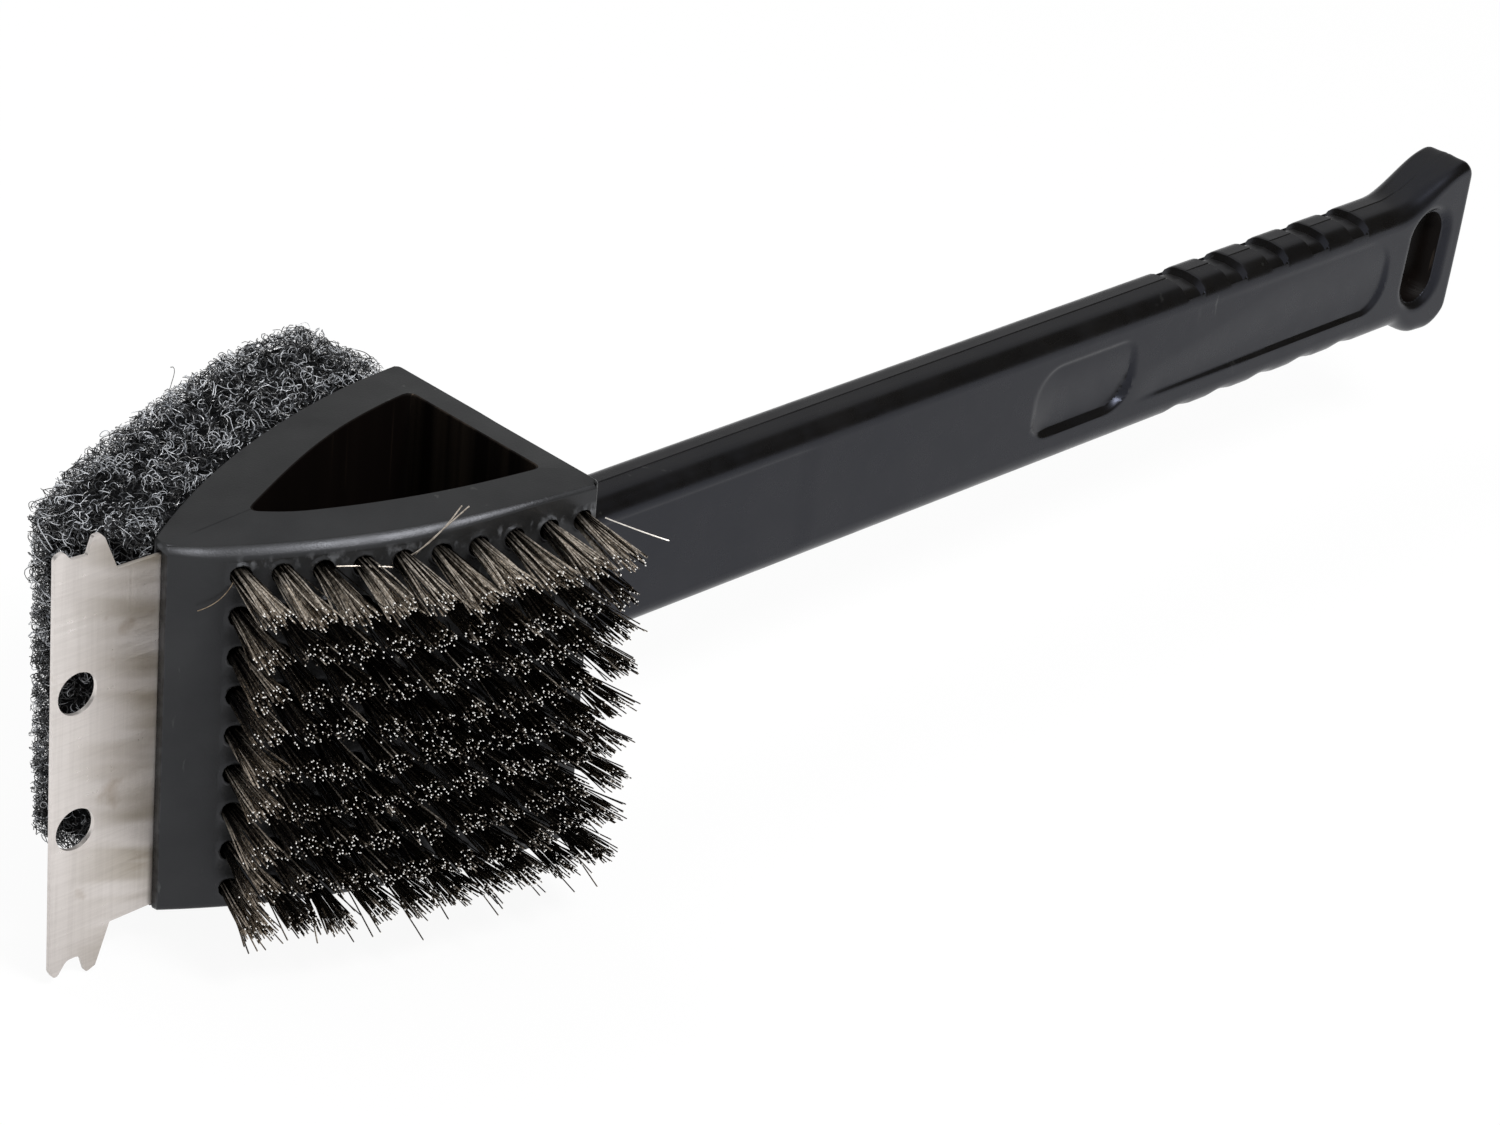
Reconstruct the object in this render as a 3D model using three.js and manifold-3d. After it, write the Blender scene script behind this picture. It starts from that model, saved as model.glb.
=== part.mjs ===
// Grill cleaning brush. A hollow wedge-shaped head carries wire tufts on one curved face, a scouring
// pad on the other and a steel scraper plate in its apex. It is plugged onto a long flat handle with
// a hanging slot.
//
// Millimetres and degrees. The brush is built with X running from the head's apex along the handle,
// Y square to the scraper plate with the wires at -Y and the pad at +Y, and Z up the head's prism, 0
// at the head's mid height. The finished assembly is then moved so that the centre of the hanging
// slot is the origin.
import * as THREE from "three";
import { mergeGeometries, mergeVertices } from "three/addons/utils/BufferGeometryUtils.js";
import Module from "manifold-3d";

const wasm = await Module();
wasm.setup();

// Gaps and cuts
const seatGap = 0.3; // between a piece and the piece it sits on
const overrun = 5; // how far a cut runs past the face it opens

// Head
const headLength = 78;
const headWidth = 57; // across the rear wall
const headHeight = 76;
const sideRadius = 153; // curve of the two side faces, seen from above
const apexWidth = 2.4;
const headEdge = 1.2; // rounding of the outer edges
const sideWall = 10;
const rearWall = 4.8;
const hollowCorner = 3; // how far the hollow's corners are rounded back along its sides

// Scraper plate
const plateThickness = 0.9;
const plateReach = 22; // in front of the apex
const tangDepth = 14; // inside the head
const plateDrop = 1.6; // the plate's middle lies this far below the head's
const neckHeight = 72.4;
const neckLength = 8.5; // from the apex to the notch corner
const prongHeight = 88; // over the two inner points
const prongSlant = 4.3; // from the notch corner to the point, along the plate
const prongTip = 1.2;
const prongFall = 1.4; // from the point's far side to the valley
const valleyHeight = 81.8;
const valleyWidth = 1.8;
const cornerHeight = 85.4; // over the two outer points
const cornerRound = 2.2;
const plateHoleDiameter = 8.3;
const plateHoleSpacing = 27.6;
const plateHoleInset = 5.4; // from the outer edge to the holes' centres
const plateSlack = 0.15; // between the plate and each wall of its slot
const plateSegments = 6; // steps in each curve of its outline

// Scouring pad
const padThickness = 24;
const padHeight = 70;
const padEdge = 2.5;

// Wire tufts
const tuftColumns = 10;
const tuftRows = 9;
const columnPitch = 7.3;
const rowPitch = 8.04;
const firstColumn = 14; // along the face from the apex
const fieldDrop = 1.6; // the field's middle lies this far below the head's
const fieldRise = 0.7; // the rows climb this much from the first column to the last
const fieldMargin = 2.9; // backing beyond the outermost tufts' centres
const backingDepth = 2.2;
const wireLength = 17; // free length
const wireRoot = 1.2; // length held in the backing
const wireRadius = 0.36;
const rootSpread = 1.05; // wire to tuft centre at the face
const tipSpread = 2.9; // wire to tuft centre at the tips
const firstLean = 18; // degrees from square to the plate's plane, towards the apex, at the first column
const lastLean = 12;
const columnsPerBlock = [3, 2, 3, 2];

// Handle
const handleHeight = 30.8;
const handleThickness = 13.7;
const handleEdge = 3.6; // rounding of the long edges
const handleLift = 1.4; // the handle's middle lies this far above the head's
const handleLength = 289.8; // from the rear wall to the end's crown
const tangHeight = 20;
const tangThickness = 8;
const tangInset = 3; // into the rear wall

// Flared end of the handle
const flareLength = 29.8;
const flareTop = 7.5; // above the handle's upper face
const flareBottom = 4.6; // below its lower face
const flareLand = 5; // straight length of the raised top
const bottomLand = 5; // straight length of the lowered underside
const bottomSweep = 11; // length of the step down to it
const endCorner = 6.4;
const endSlant = 2.6; // the lower corner lies this far short of the upper one
const endBulge = 1.6;
const slotLength = 22;
const slotWidth = 11.2;
const slotInset = 13.2; // from the end's crown to the slot's centre
const slotLift = 0.9; // above the handle's middle
const slotTilt = 5; // degrees
const slotChamfer = 1.2;

// Grip: cross grooves and side recesses
const grooveCount = 5;
const groovePitch = 14;
const lastGroove = 38; // from the end's crown
const grooveRadius = 4;
const grooveDepth = 1.6;
const underRadius = 6; // grooves below the bar
const underDepth = 0.8;
const recessDepth = 0.9;
const thumbLength = 30.7;
const thumbHeight = 15.9;
const thumbCorner = 6.6;
const thumbFromEnd = 128.8; // to its centre
const panelLength = 79;
const panelHeight = 17;
const panelCorner = 5.5;
const panelFromEnd = 26.4; // from the end's crown to the panel's near end
const panelLift = 1;

// Finishes
const headPlastic = new THREE.MeshStandardMaterial({ color: 0x34383a, roughness: 0.6, metalness: 0 });
const handlePlastic = new THREE.MeshStandardMaterial({ color: 0x1b1c1f, roughness: 0.38, metalness: 0 });
const brushedSteel = new THREE.MeshStandardMaterial({ color: 0xc4bdb6, roughness: 0.35, metalness: 1 });
const steelWire = new THREE.MeshStandardMaterial({ color: 0x8a8278, roughness: 0.4, metalness: 1 });
const padFibre = new THREE.MeshStandardMaterial({ color: 0x2a2f34, roughness: 0.9, metalness: 0 });

const half = 0.5;
const radians = THREE.MathUtils.degToRad;

// A closed three.js geometry as a solid that can be joined and cut.
function solidOf(geometry) {
  const bare = geometry.index ? geometry.toNonIndexed() : geometry.clone();
  bare.deleteAttribute("normal");
  bare.deleteAttribute("uv");
  const merged = mergeVertices(bare);
  return new wasm.Manifold(
    new wasm.Mesh({
      numProp: 3,
      vertProperties: merged.attributes.position.array,
      triVerts: new Uint32Array(merged.index.array),
    }),
  );
}

// A solid as a named mesh.
function meshOf(name, solid, material) {
  const { vertProperties, triVerts } = solid.getMesh();
  const geometry = new THREE.BufferGeometry();
  geometry.setAttribute("position", new THREE.BufferAttribute(vertProperties, 3));
  geometry.setIndex(new THREE.BufferAttribute(triVerts, 1));
  geometry.computeVertexNormals();
  const mesh = new THREE.Mesh(geometry, material);
  mesh.name = name;
  return mesh;
}

// An outline drawn in X and Y, raised from one height to another, with its end edges rounded on request.
function upright(shape, low, high, { edge = 0, edgeSteps = 3, curveSegments = 12 } = {}) {
  const geometry = new THREE.ExtrudeGeometry(shape, {
    depth: high - low - 2 * edge,
    bevelEnabled: edge > 0,
    bevelThickness: edge,
    bevelSize: edge,
    bevelOffset: -edge,
    bevelSegments: edgeSteps,
    curveSegments,
  });
  return geometry.translate(0, 0, low + edge);
}

// An outline drawn in X and Z, spread evenly to both sides of the plate's plane.
function sideways(shape, thickness, rounding) {
  return upright(shape, -half * thickness, half * thickness, rounding).rotateX(half * Math.PI);
}

// A rectangle with round corners, centred on a point.
function roundedRectangle(x, y, width, height, corner) {
  const left = x - half * width;
  const right = x + half * width;
  const bottom = y - half * height;
  const top = y + half * height;
  const shape = new THREE.Shape();
  shape.moveTo(left + corner, bottom);
  shape.lineTo(right - corner, bottom);
  shape.absarc(right - corner, bottom + corner, corner, -half * Math.PI, 0);
  shape.lineTo(right, top - corner);
  shape.absarc(right - corner, top - corner, corner, 0, half * Math.PI);
  shape.lineTo(left + corner, top);
  shape.absarc(left + corner, top - corner, corner, half * Math.PI, Math.PI);
  shape.lineTo(left, bottom + corner);
  shape.absarc(left + corner, bottom + corner, corner, Math.PI, 1.5 * Math.PI);
  return shape;
}

// The circle that both side faces follow: its centre for the +Y face, worked out from the apex, the
// rear corner and the radius. The -Y face is the mirror image. Its angles turn from +Y towards +X.
const sideCircle = (() => {
  const apex = new THREE.Vector2(0, half * apexWidth);
  const corner = new THREE.Vector2(headLength, half * headWidth);
  const chord = corner.clone().sub(apex);
  const middle = apex.clone().lerp(corner, half);
  const inward = new THREE.Vector2(chord.y, -chord.x).normalize();
  const sagittaSide = Math.sqrt(sideRadius ** 2 - (half * chord.length()) ** 2);
  const centre = middle.add(inward.multiplyScalar(sagittaSide));
  const angleAt = (x) => Math.asin((x - centre.x) / sideRadius);
  return { centre, apexAngle: angleAt(0), rearAngle: angleAt(headLength) };
})();

// An angle of the side circle as the drawing functions count it, from +X towards +Y.
const drawn = (angle) => half * Math.PI - angle;

// A point at a radius and an angle of the side circle.
function sidePoint(radius, angle) {
  const { centre } = sideCircle;
  return new THREE.Vector2(centre.x + radius * Math.sin(angle), centre.y + radius * Math.cos(angle));
}

// A sector of the ring between two radii of the side circle, for the +Y face.
function sideSector(inner, outer, from, to) {
  const { centre } = sideCircle;
  const shape = new THREE.Shape();
  shape.absarc(centre.x, centre.y, outer, drawn(from), drawn(to), true);
  shape.absarc(centre.x, centre.y, inner, drawn(to), drawn(from), false);
  shape.closePath();
  return shape;
}

const headTop = half * headHeight;

// The head's outline from above: two curved sides that meet in a blunt apex, and a straight rear wall.
function headOutline() {
  const { centre, apexAngle, rearAngle } = sideCircle;
  const shape = new THREE.Shape();
  shape.absarc(centre.x, -centre.y, sideRadius, -drawn(apexAngle), -drawn(rearAngle), false);
  shape.absarc(centre.x, centre.y, sideRadius, drawn(rearAngle), drawn(apexAngle), false);
  shape.closePath();
  return shape;
}

// The hollow's outline: the side faces set in by the side wall, with its three corners rounded back.
const hollow = (() => {
  const radius = sideRadius - sideWall;
  const rearX = headLength - rearWall;
  const { centre } = sideCircle;
  const xAt = (y) => centre.x - Math.sqrt(radius ** 2 - (y - centre.y) ** 2);
  const yAt = (x) => centre.y + Math.sqrt(radius ** 2 - (x - centre.x) ** 2);
  return { radius, rearX, frontX: xAt(0), yAt };
})();

function hollowOutline() {
  const { radius, rearX, frontX, yAt } = hollow;
  const { centre } = sideCircle;
  const frontTo = frontX + hollowCorner;
  const rearTo = rearX - hollowCorner;
  const angle = (x) => drawn(Math.asin((x - centre.x) / radius));
  const shape = new THREE.Shape();
  shape.moveTo(frontTo, -yAt(frontTo));
  shape.absarc(centre.x, -centre.y, radius, -angle(frontTo), -angle(rearTo), false);
  shape.quadraticCurveTo(rearX, -yAt(rearX), rearX, hollowCorner - yAt(rearX));
  shape.lineTo(rearX, yAt(rearX) - hollowCorner);
  shape.quadraticCurveTo(rearX, yAt(rearX), rearTo, yAt(rearTo));
  shape.absarc(centre.x, centre.y, radius, angle(rearTo), angle(frontTo), false);
  shape.quadraticCurveTo(frontX, 0, frontTo, -yAt(frontTo));
  return shape;
}

// The wire field: its lowest and highest edge, its reach along the face from the apex, and the side
// circle's angle at a length along the face.
const field = {
  low: -fieldDrop - half * (tuftRows - 1) * rowPitch - fieldMargin,
  high: -fieldDrop + half * (tuftRows - 1) * rowPitch + fieldMargin,
  angleOf: (alongFace) => sideCircle.apexAngle + alongFace / sideRadius,
  start: firstColumn - fieldMargin,
  end: firstColumn + (tuftColumns - 1) * columnPitch + fieldMargin,
};

// The slot in the apex that holds the plate's tang. It runs out through the head's lower end.
const plateSlot = {
  top: -plateDrop + half * neckHeight + seatGap,
  depth: tangDepth + seatGap,
  width: plateThickness + 2 * plateSlack,
};

// A rectangular block between two corners.
function block(x, y, z) {
  const box = new THREE.BoxGeometry(x[1] - x[0], y[1] - y[0], z[1] - z[0]);
  return box.translate(half * (x[0] + x[1]), half * (y[0] + y[1]), half * (z[0] + z[1]));
}

function headBody() {
  const prism = solidOf(upright(headOutline(), -headTop, headTop, { edge: headEdge, curveSegments: 20 }));
  const core = solidOf(upright(hollowOutline(), -headTop - overrun, headTop + overrun));
  const pocketShape = sideSector(
    sideRadius - backingDepth - seatGap,
    sideRadius + overrun,
    field.angleOf(field.start - seatGap),
    field.angleOf(field.end + seatGap),
  );
  const pocket = solidOf(upright(pocketShape, -field.high - seatGap, -field.low + seatGap).rotateX(Math.PI));
  const slot = solidOf(
    block(
      [-overrun, plateSlot.depth],
      [-half * plateSlot.width, half * plateSlot.width],
      [-headTop - overrun, plateSlot.top],
    ),
  );
  const socket = solidOf(
    block(
      [headLength - tangInset - seatGap, headLength + overrun],
      [-half * tangThickness - seatGap, half * tangThickness + seatGap],
      [handleLift - half * tangHeight - seatGap, handleLift + half * tangHeight + seatGap],
    ),
  );
  return prism.subtract(core).subtract(pocket).subtract(slot).subtract(socket);
}

// The scraper plate from the side: a straight outer edge, two points at each end and a tang inside
// the head. Its upper half is drawn from the tang to the outer edge, and the lower half is the mirror
// image.
function scraperPlate() {
  const neck = half * neckHeight;
  const prongTop = half * prongHeight;
  const valley = half * valleyHeight;
  const corner = half * cornerHeight;
  const outerX = -plateReach;
  const prongX = -neckLength - prongSlant;
  const valleyNear = prongX - prongTip - prongFall;
  const valleyFar = valleyNear - valleyWidth;
  const cornerX = outerX + cornerRound;
  const upper = new THREE.Path();
  upper.moveTo(tangDepth, 0);
  upper.lineTo(tangDepth, neck);
  upper.lineTo(-neckLength, neck);
  upper.lineTo(prongX + prongTip, prongTop - prongTip);
  upper.quadraticCurveTo(prongX, prongTop + prongTip, prongX - prongTip, prongTop - prongTip);
  upper.quadraticCurveTo(prongX - prongTip, valley, valleyNear, valley);
  upper.lineTo(valleyFar, valley);
  upper.quadraticCurveTo(half * (valleyFar + cornerX), valley, cornerX, corner);
  upper.quadraticCurveTo(outerX, corner, outerX, corner - cornerRound);
  upper.lineTo(outerX, 0);
  const rim = upper.getPoints(plateSegments);
  const mirrored = rim.slice(1, -1).map(({ x, y }) => new THREE.Vector2(x, -y));
  const shape = new THREE.Shape([...rim, ...mirrored.reverse()]);
  for (const side of [-1, 1]) {
    const hole = new THREE.Path();
    const holeZ = half * side * plateHoleSpacing;
    hole.absarc(outerX + plateHoleInset, holeZ, half * plateHoleDiameter, 0, 2 * Math.PI);
    shape.holes.push(hole);
  }
  return solidOf(sideways(shape, plateThickness).translate(0, 0, -plateDrop));
}

// The scouring pad, wrapped on the +Y face with its ends cut square to the face.
function scouringPad() {
  const { apexAngle, rearAngle } = sideCircle;
  const shape = sideSector(sideRadius + seatGap, sideRadius + padThickness, apexAngle, rearAngle);
  return solidOf(upright(shape, headTop - padHeight, headTop, { edge: padEdge, edgeSteps: 2 }));
}

// One wire of a tuft, from below the face at the tuft's root to its tip. The offset points from the
// tuft's centre to the wire, and the tuft opens out from its root to its tips.
function wire(root, direction, offset) {
  const start = root.clone().addScaledVector(direction, -wireRoot).addScaledVector(offset, rootSpread);
  const tip = root.clone().addScaledVector(direction, wireLength).addScaledVector(offset, tipSpread);
  const axis = tip.clone().sub(start);
  const strand = new THREE.CylinderGeometry(wireRadius, wireRadius, axis.length(), 3);
  const turn = new THREE.Quaternion().setFromUnitVectors(THREE.Object3D.DEFAULT_UP, axis.clone().normalize());
  const middle = start.lerp(tip, half);
  return strand.applyQuaternion(turn).translate(middle.x, middle.y, middle.z);
}

// A block of tufts: a slice of the head's face with the wires of its columns standing in it.
function tuftBlock(firstIndex, columnCount) {
  const alongFace = (column) => firstColumn + column * columnPitch;
  const lastIndex = firstIndex + columnCount - 1;
  const reach = half * (columnPitch - seatGap);
  const from = firstIndex === 0 ? field.start : alongFace(firstIndex) - reach;
  const to = lastIndex === tuftColumns - 1 ? field.end : alongFace(lastIndex) + reach;
  const angles = [from, to].map(field.angleOf);
  const slice = sideSector(sideRadius - backingDepth, sideRadius, ...angles);
  const backing = solidOf(upright(slice, -field.high, -field.low).rotateX(Math.PI));
  const wires = [];
  for (let column = firstIndex; column <= lastIndex; column += 1) {
    const lean = radians(THREE.MathUtils.lerp(firstLean, lastLean, column / (tuftColumns - 1)));
    const direction = new THREE.Vector3(-Math.sin(lean), -Math.cos(lean), 0);
    const across = new THREE.Vector3(Math.cos(lean), -Math.sin(lean), 0);
    const up = new THREE.Vector3(0, 0, 1);
    const offsets = [across, up, across.clone().negate(), up.clone().negate()];
    const facePoint = sidePoint(sideRadius, field.angleOf(alongFace(column)));
    for (let row = 0; row < tuftRows; row += 1) {
      const rise = fieldRise * (column / (tuftColumns - 1) - half);
      const height = rise - fieldDrop + (row - half * (tuftRows - 1)) * rowPitch;
      const root = new THREE.Vector3(facePoint.x, -facePoint.y, height);
      for (const offset of offsets) wires.push(wire(root, direction, offset));
    }
  }
  return backing.add(solidOf(mergeGeometries(wires)));
}

// The handle's middle height, ends and faces.
const handle = (() => {
  const start = headLength + seatGap;
  const end = headLength + handleLength;
  const top = half * handleHeight;
  return { start, end, top, bottom: -top, slot: new THREE.Vector2(end - slotInset, slotLift) };
})();

// The handle from the side, about its own middle height: a straight bar that flares into a slanted
// end. It is drawn past its start, where the rounded edges are cut off square.
function handleOutline() {
  const { start, end, top, bottom } = handle;
  const flareX = end - flareLength;
  const high = top + flareTop;
  const low = bottom - flareBottom;
  const highLandX = end - endCorner - flareLand;
  const lowEnd = end - endSlant;
  const lowLandX = lowEnd - endCorner - bottomLand;
  const shape = new THREE.Shape();
  shape.moveTo(start - overrun, bottom);
  shape.lineTo(lowLandX - bottomSweep, bottom);
  const sweepX = lowLandX - half * bottomSweep;
  shape.bezierCurveTo(sweepX, bottom, sweepX, low, lowLandX, low);
  shape.lineTo(lowEnd - endCorner, low);
  shape.quadraticCurveTo(lowEnd, low, lowEnd, low + endCorner);
  shape.quadraticCurveTo(end + endBulge, half * (high + low), end, high - endCorner);
  shape.quadraticCurveTo(end, high, end - endCorner, high);
  shape.lineTo(highLandX, high);
  shape.bezierCurveTo(half * (flareX + highLandX), high, half * (flareX + highLandX), top, flareX, top);
  shape.lineTo(start - overrun, top);
  shape.closePath();
  return shape;
}

// The cutters for the hanging slot: a through slot and a chamfer on each side face.
function slotCutters() {
  const { slot } = handle;
  const outline = roundedRectangle(0, 0, slotWidth, slotLength, half * slotWidth);
  const place = (geometry) => geometry.rotateY(radians(slotTilt)).translate(slot.x, 0, slot.y);
  const through = place(sideways(outline, handleThickness + 2 * overrun));
  const chamfers = [-1, 1].map((side) => {
    const flared = new THREE.ExtrudeGeometry(outline, {
      depth: overrun,
      bevelThickness: slotChamfer,
      bevelSize: slotChamfer,
      bevelSegments: 1,
    });
    return place(flared.rotateX(-half * side * Math.PI)).translate(0, half * side * handleThickness, 0);
  });
  return [through, ...chamfers].map(solidOf);
}

// The cutters for the grip: cross grooves over and under the bar, and two shallow recesses on each side.
function gripCutters() {
  const { end, top, bottom } = handle;
  const cross = (x, z, radius) =>
    new THREE.CylinderGeometry(radius, radius, handleThickness + 2 * overrun).translate(x, 0, z);
  const grooves = [];
  for (let index = 0; index < grooveCount; index += 1) {
    const x = end - lastGroove - index * groovePitch;
    grooves.push(cross(x, top + grooveRadius - grooveDepth, grooveRadius));
    grooves.push(cross(x, bottom - underRadius + underDepth, underRadius));
  }
  const thumb = roundedRectangle(end - thumbFromEnd, 0, thumbLength, thumbHeight, thumbCorner);
  const panelX = end - panelFromEnd - half * panelLength;
  const panel = roundedRectangle(panelX, panelLift, panelLength, panelHeight, panelCorner);
  const recesses = [thumb, panel].flatMap((outline) =>
    [-1, 1].map((side) =>
      sideways(outline, 2 * recessDepth).translate(0, half * side * handleThickness, 0),
    ),
  );
  return [...grooves, ...recesses].map(solidOf);
}

function handleBar() {
  const { start, end, top } = handle;
  const bar = solidOf(sideways(handleOutline(), handleThickness, { edge: handleEdge, edgeSteps: 4 }));
  const reach = top + flareTop + overrun;
  const keep = solidOf(block([start, end + overrun], [-handleThickness, handleThickness], [-reach, reach]));
  const tang = solidOf(
    block(
      [headLength - tangInset, start + overrun],
      [-half * tangThickness, half * tangThickness],
      [-half * tangHeight, half * tangHeight],
    ),
  );
  const cutters = [...slotCutters(), ...gripCutters()];
  const body = cutters.reduce((solid, cutter) => solid.subtract(cutter), bar.intersect(keep).add(tang));
  return body.translate(0, 0, handleLift);
}

// Assembly
const assembly = new THREE.Group();
assembly.position.set(-handle.slot.x, 0, -handle.slot.y - handleLift);
assembly.add(meshOf("head_body", headBody(), headPlastic));
assembly.add(meshOf("scraper_plate", scraperPlate(), brushedSteel));
assembly.add(meshOf("scouring_pad", scouringPad(), padFibre));
assembly.add(meshOf("handle", handleBar(), handlePlastic));
let nextColumn = 0;
for (const [index, columnCount] of columnsPerBlock.entries()) {
  assembly.add(meshOf(`wire_tufts_${index + 1}`, tuftBlock(nextColumn, columnCount), steelWire));
  nextColumn += columnCount;
}

const grillBrush = new THREE.Group();
grillBrush.name = "grill_brush";
grillBrush.add(assembly);

export default grillBrush;
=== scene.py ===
"""Studio scene of a grill cleaning brush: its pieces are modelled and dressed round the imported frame.

Lengths are in the brush's own millimetres until a piece is settled: X runs from the head's apex
along the handle, the wires point to -Y, the pad lies on the +Y side and Z runs up the head, 0 at its
mid height. Settling a piece moves it into the shared frame, in metres. Only the scales of patterns
and the heights of bumps are given in metres throughout.
"""

import logging
import math
from collections.abc import Sequence
from dataclasses import dataclass, field
from enum import Enum, IntEnum

import bmesh
import bpy
import numpy as np
from mathutils import Matrix, Vector

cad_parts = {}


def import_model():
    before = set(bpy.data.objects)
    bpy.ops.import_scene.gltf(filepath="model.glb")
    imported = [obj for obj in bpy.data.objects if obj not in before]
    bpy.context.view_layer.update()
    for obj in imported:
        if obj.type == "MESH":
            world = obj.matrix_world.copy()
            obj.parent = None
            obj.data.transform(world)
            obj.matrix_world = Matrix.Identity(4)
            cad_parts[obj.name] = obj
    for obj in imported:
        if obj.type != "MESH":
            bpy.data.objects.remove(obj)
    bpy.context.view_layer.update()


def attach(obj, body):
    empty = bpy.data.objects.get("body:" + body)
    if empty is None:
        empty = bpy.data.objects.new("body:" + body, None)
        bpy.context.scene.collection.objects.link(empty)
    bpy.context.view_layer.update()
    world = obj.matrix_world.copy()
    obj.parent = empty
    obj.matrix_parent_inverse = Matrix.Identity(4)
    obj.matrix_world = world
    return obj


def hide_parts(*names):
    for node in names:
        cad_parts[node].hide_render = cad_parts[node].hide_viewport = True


log = logging.getLogger("grill_brush")

Colour = tuple[float, float, float]
Point = tuple[float, float, float]
Socket = bpy.types.NodeSocket
Feeds = dict[str | int, object]
Material = bpy.types.Material
Piece = bpy.types.Object
Shell = bmesh.types.BMesh
Ring = list[bmesh.types.BMVert]
Faces = list[bmesh.types.BMFace]

ORIGIN = Vector((354.6, 0.0, 2.3))
MILLIMETRE = 0.001
BODY = "root"
EVEN: Point = (1.0, 1.0, 1.0)


class Slot(Enum):
    """The record's material slots."""

    HEAD = "head_plastic"
    HANDLE = "handle_plastic"
    SCRAPER = "scraper_steel"
    PAD = "pad_fibre"
    WIRE = "wire_steel"


# Shader building


@dataclass(frozen=True)
class NodeBoard:
    """A material's node tree, with short ways to add nodes and wire them."""

    tree: bpy.types.NodeTree

    def feed(self, node: bpy.types.Node, feeds: Feeds) -> None:
        """Gives a node's inputs sockets to read or plain values to hold.

        Args:
            node: the node.
            feeds: sockets or plain values for its inputs, by name or place.
        """
        for name, value in feeds.items():
            if isinstance(value, Socket):
                self.tree.links.new(value, node.inputs[name])
            else:
                node.inputs[name].default_value = value

    def add(self, kind: str, feeds: Feeds | None = None, **settings: object) -> bpy.types.Node:
        """Adds a node.

        Args:
            kind: the node's type.
            feeds: sockets or plain values for its inputs, by name or place.
            settings: its plain properties.

        Returns:
            The node.
        """
        node = self.tree.nodes.new(kind)
        for name, value in settings.items():
            setattr(node, name, value)
        self.feed(node, feeds or {})
        return node

    def coordinates(self, stretch: Point = EVEN, turn: Point = (0.0, 0.0, 0.0)) -> Socket:
        """Object coordinates in metres, scaled and turned.

        Args:
            stretch: scale on each axis.
            turn: rotation about each axis, in radians.

        Returns:
            The coordinates.
        """
        spot = self.add("ShaderNodeTexCoord").outputs["Object"]
        mapping = self.add("ShaderNodeMapping", {"Vector": spot, "Scale": stretch, "Rotation": turn})
        return mapping.outputs["Vector"]

    def brush_spot(self) -> Socket:
        """The place on the brush.

        Returns:
            Its coordinates in the brush's own millimetres.
        """
        spot = self.add("ShaderNodeTexCoord").outputs["Object"]
        to_brush = {"Vector": spot, "Scale": Vector(EVEN) / MILLIMETRE, "Location": ORIGIN}
        return self.add("ShaderNodeMapping", to_brush).outputs["Vector"]

    def brush_axes(self) -> dict[str, Socket]:
        """X, Y and Z of the place on the brush, in its own millimetres."""
        split = self.add("ShaderNodeSeparateXYZ", {"Vector": self.brush_spot()})
        return {axis: split.outputs[axis] for axis in "XYZ"}

    def noise(
        self, scale: float, detail: float = 3.0, stretch: Point = EVEN, turn: Point = (0.0, 0.0, 0.0)
    ) -> Socket:
        """A noise pattern on object coordinates, given as its factor."""
        feeds = {"Vector": self.coordinates(stretch, turn), "Scale": scale, "Detail": detail}
        return self.add("ShaderNodeTexNoise", feeds).outputs["Fac"]

    def ramp(self, source: Socket, stops: Sequence[tuple[float, Colour]]) -> Socket:
        """A colour ramp over a factor.

        Args:
            source: the factor.
            stops: two positions with linear colours.

        Returns:
            The ramp's colour socket.
        """
        node = self.add("ShaderNodeValToRGB", {"Fac": source})
        for element, (position, colour) in zip(node.color_ramp.elements, stops):
            element.position = position
            element.color = (*colour, 1.0)
        return node.outputs["Color"]

    def range(self, source: Socket, low: float, high: float, to_low: float, to_high: float) -> Socket:
        """A factor carried from one range to another and held inside it."""
        feeds = {"Value": source, "From Min": low, "From Max": high, "To Min": to_low, "To Max": to_high}
        return self.add("ShaderNodeMapRange", feeds).outputs["Result"]

    def maths(self, operation: str, *terms: Socket | float) -> Socket:
        """A chain of maths nodes.

        Args:
            operation: what each node works out.
            terms: sockets and numbers, taken from the first to the last.

        Returns:
            The last node's value.
        """
        result = terms[0]
        for term in terms[1:]:
            result = self.add("ShaderNodeMath", {0: result, 1: term}, operation=operation).outputs["Value"]
        return result

    def vector(self, operation: str, output: str, *terms: object) -> Socket:
        """One vector maths node over its terms, read at the output of that name."""
        return self.add("ShaderNodeVectorMath", dict(enumerate(terms)), operation=operation).outputs[output]

    def blend(self, share: Socket, colour: Socket, other: Colour, kind: str = "MIX") -> Socket:
        """A colour carried towards another by a share, or multiplied by it."""
        feeds = {"Factor": share, "A": colour, "B": (*other, 1.0)}
        return self.add("ShaderNodeMix", feeds, data_type="RGBA", blend_type=kind).outputs["Result"]

    def bump(self, height: Socket, distance: float, strength: float, under: Socket | None = None) -> Socket:
        """A bump from a height.

        Args:
            height: the height.
            distance: what a height of 1 stands for, in metres.
            strength: how strongly it shows.
            under: the normal it lies on, where it isn't the surface's own.

        Returns:
            The normal.
        """
        feeds = {"Height": height, "Distance": distance, "Strength": strength}
        if under is not None:
            feeds["Normal"] = under
        return self.add("ShaderNodeBump", feeds).outputs["Normal"]

    def seen_directly(self) -> Socket:
        """1 where the eye, a reflection or a refraction sees the surface, 0 where only soft light does."""
        path = self.add("ShaderNodeLightPath").outputs
        return self.maths("MAXIMUM", *(path[f"Is {ray} Ray"] for ray in ("Camera", "Glossy", "Transmission")))


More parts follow.
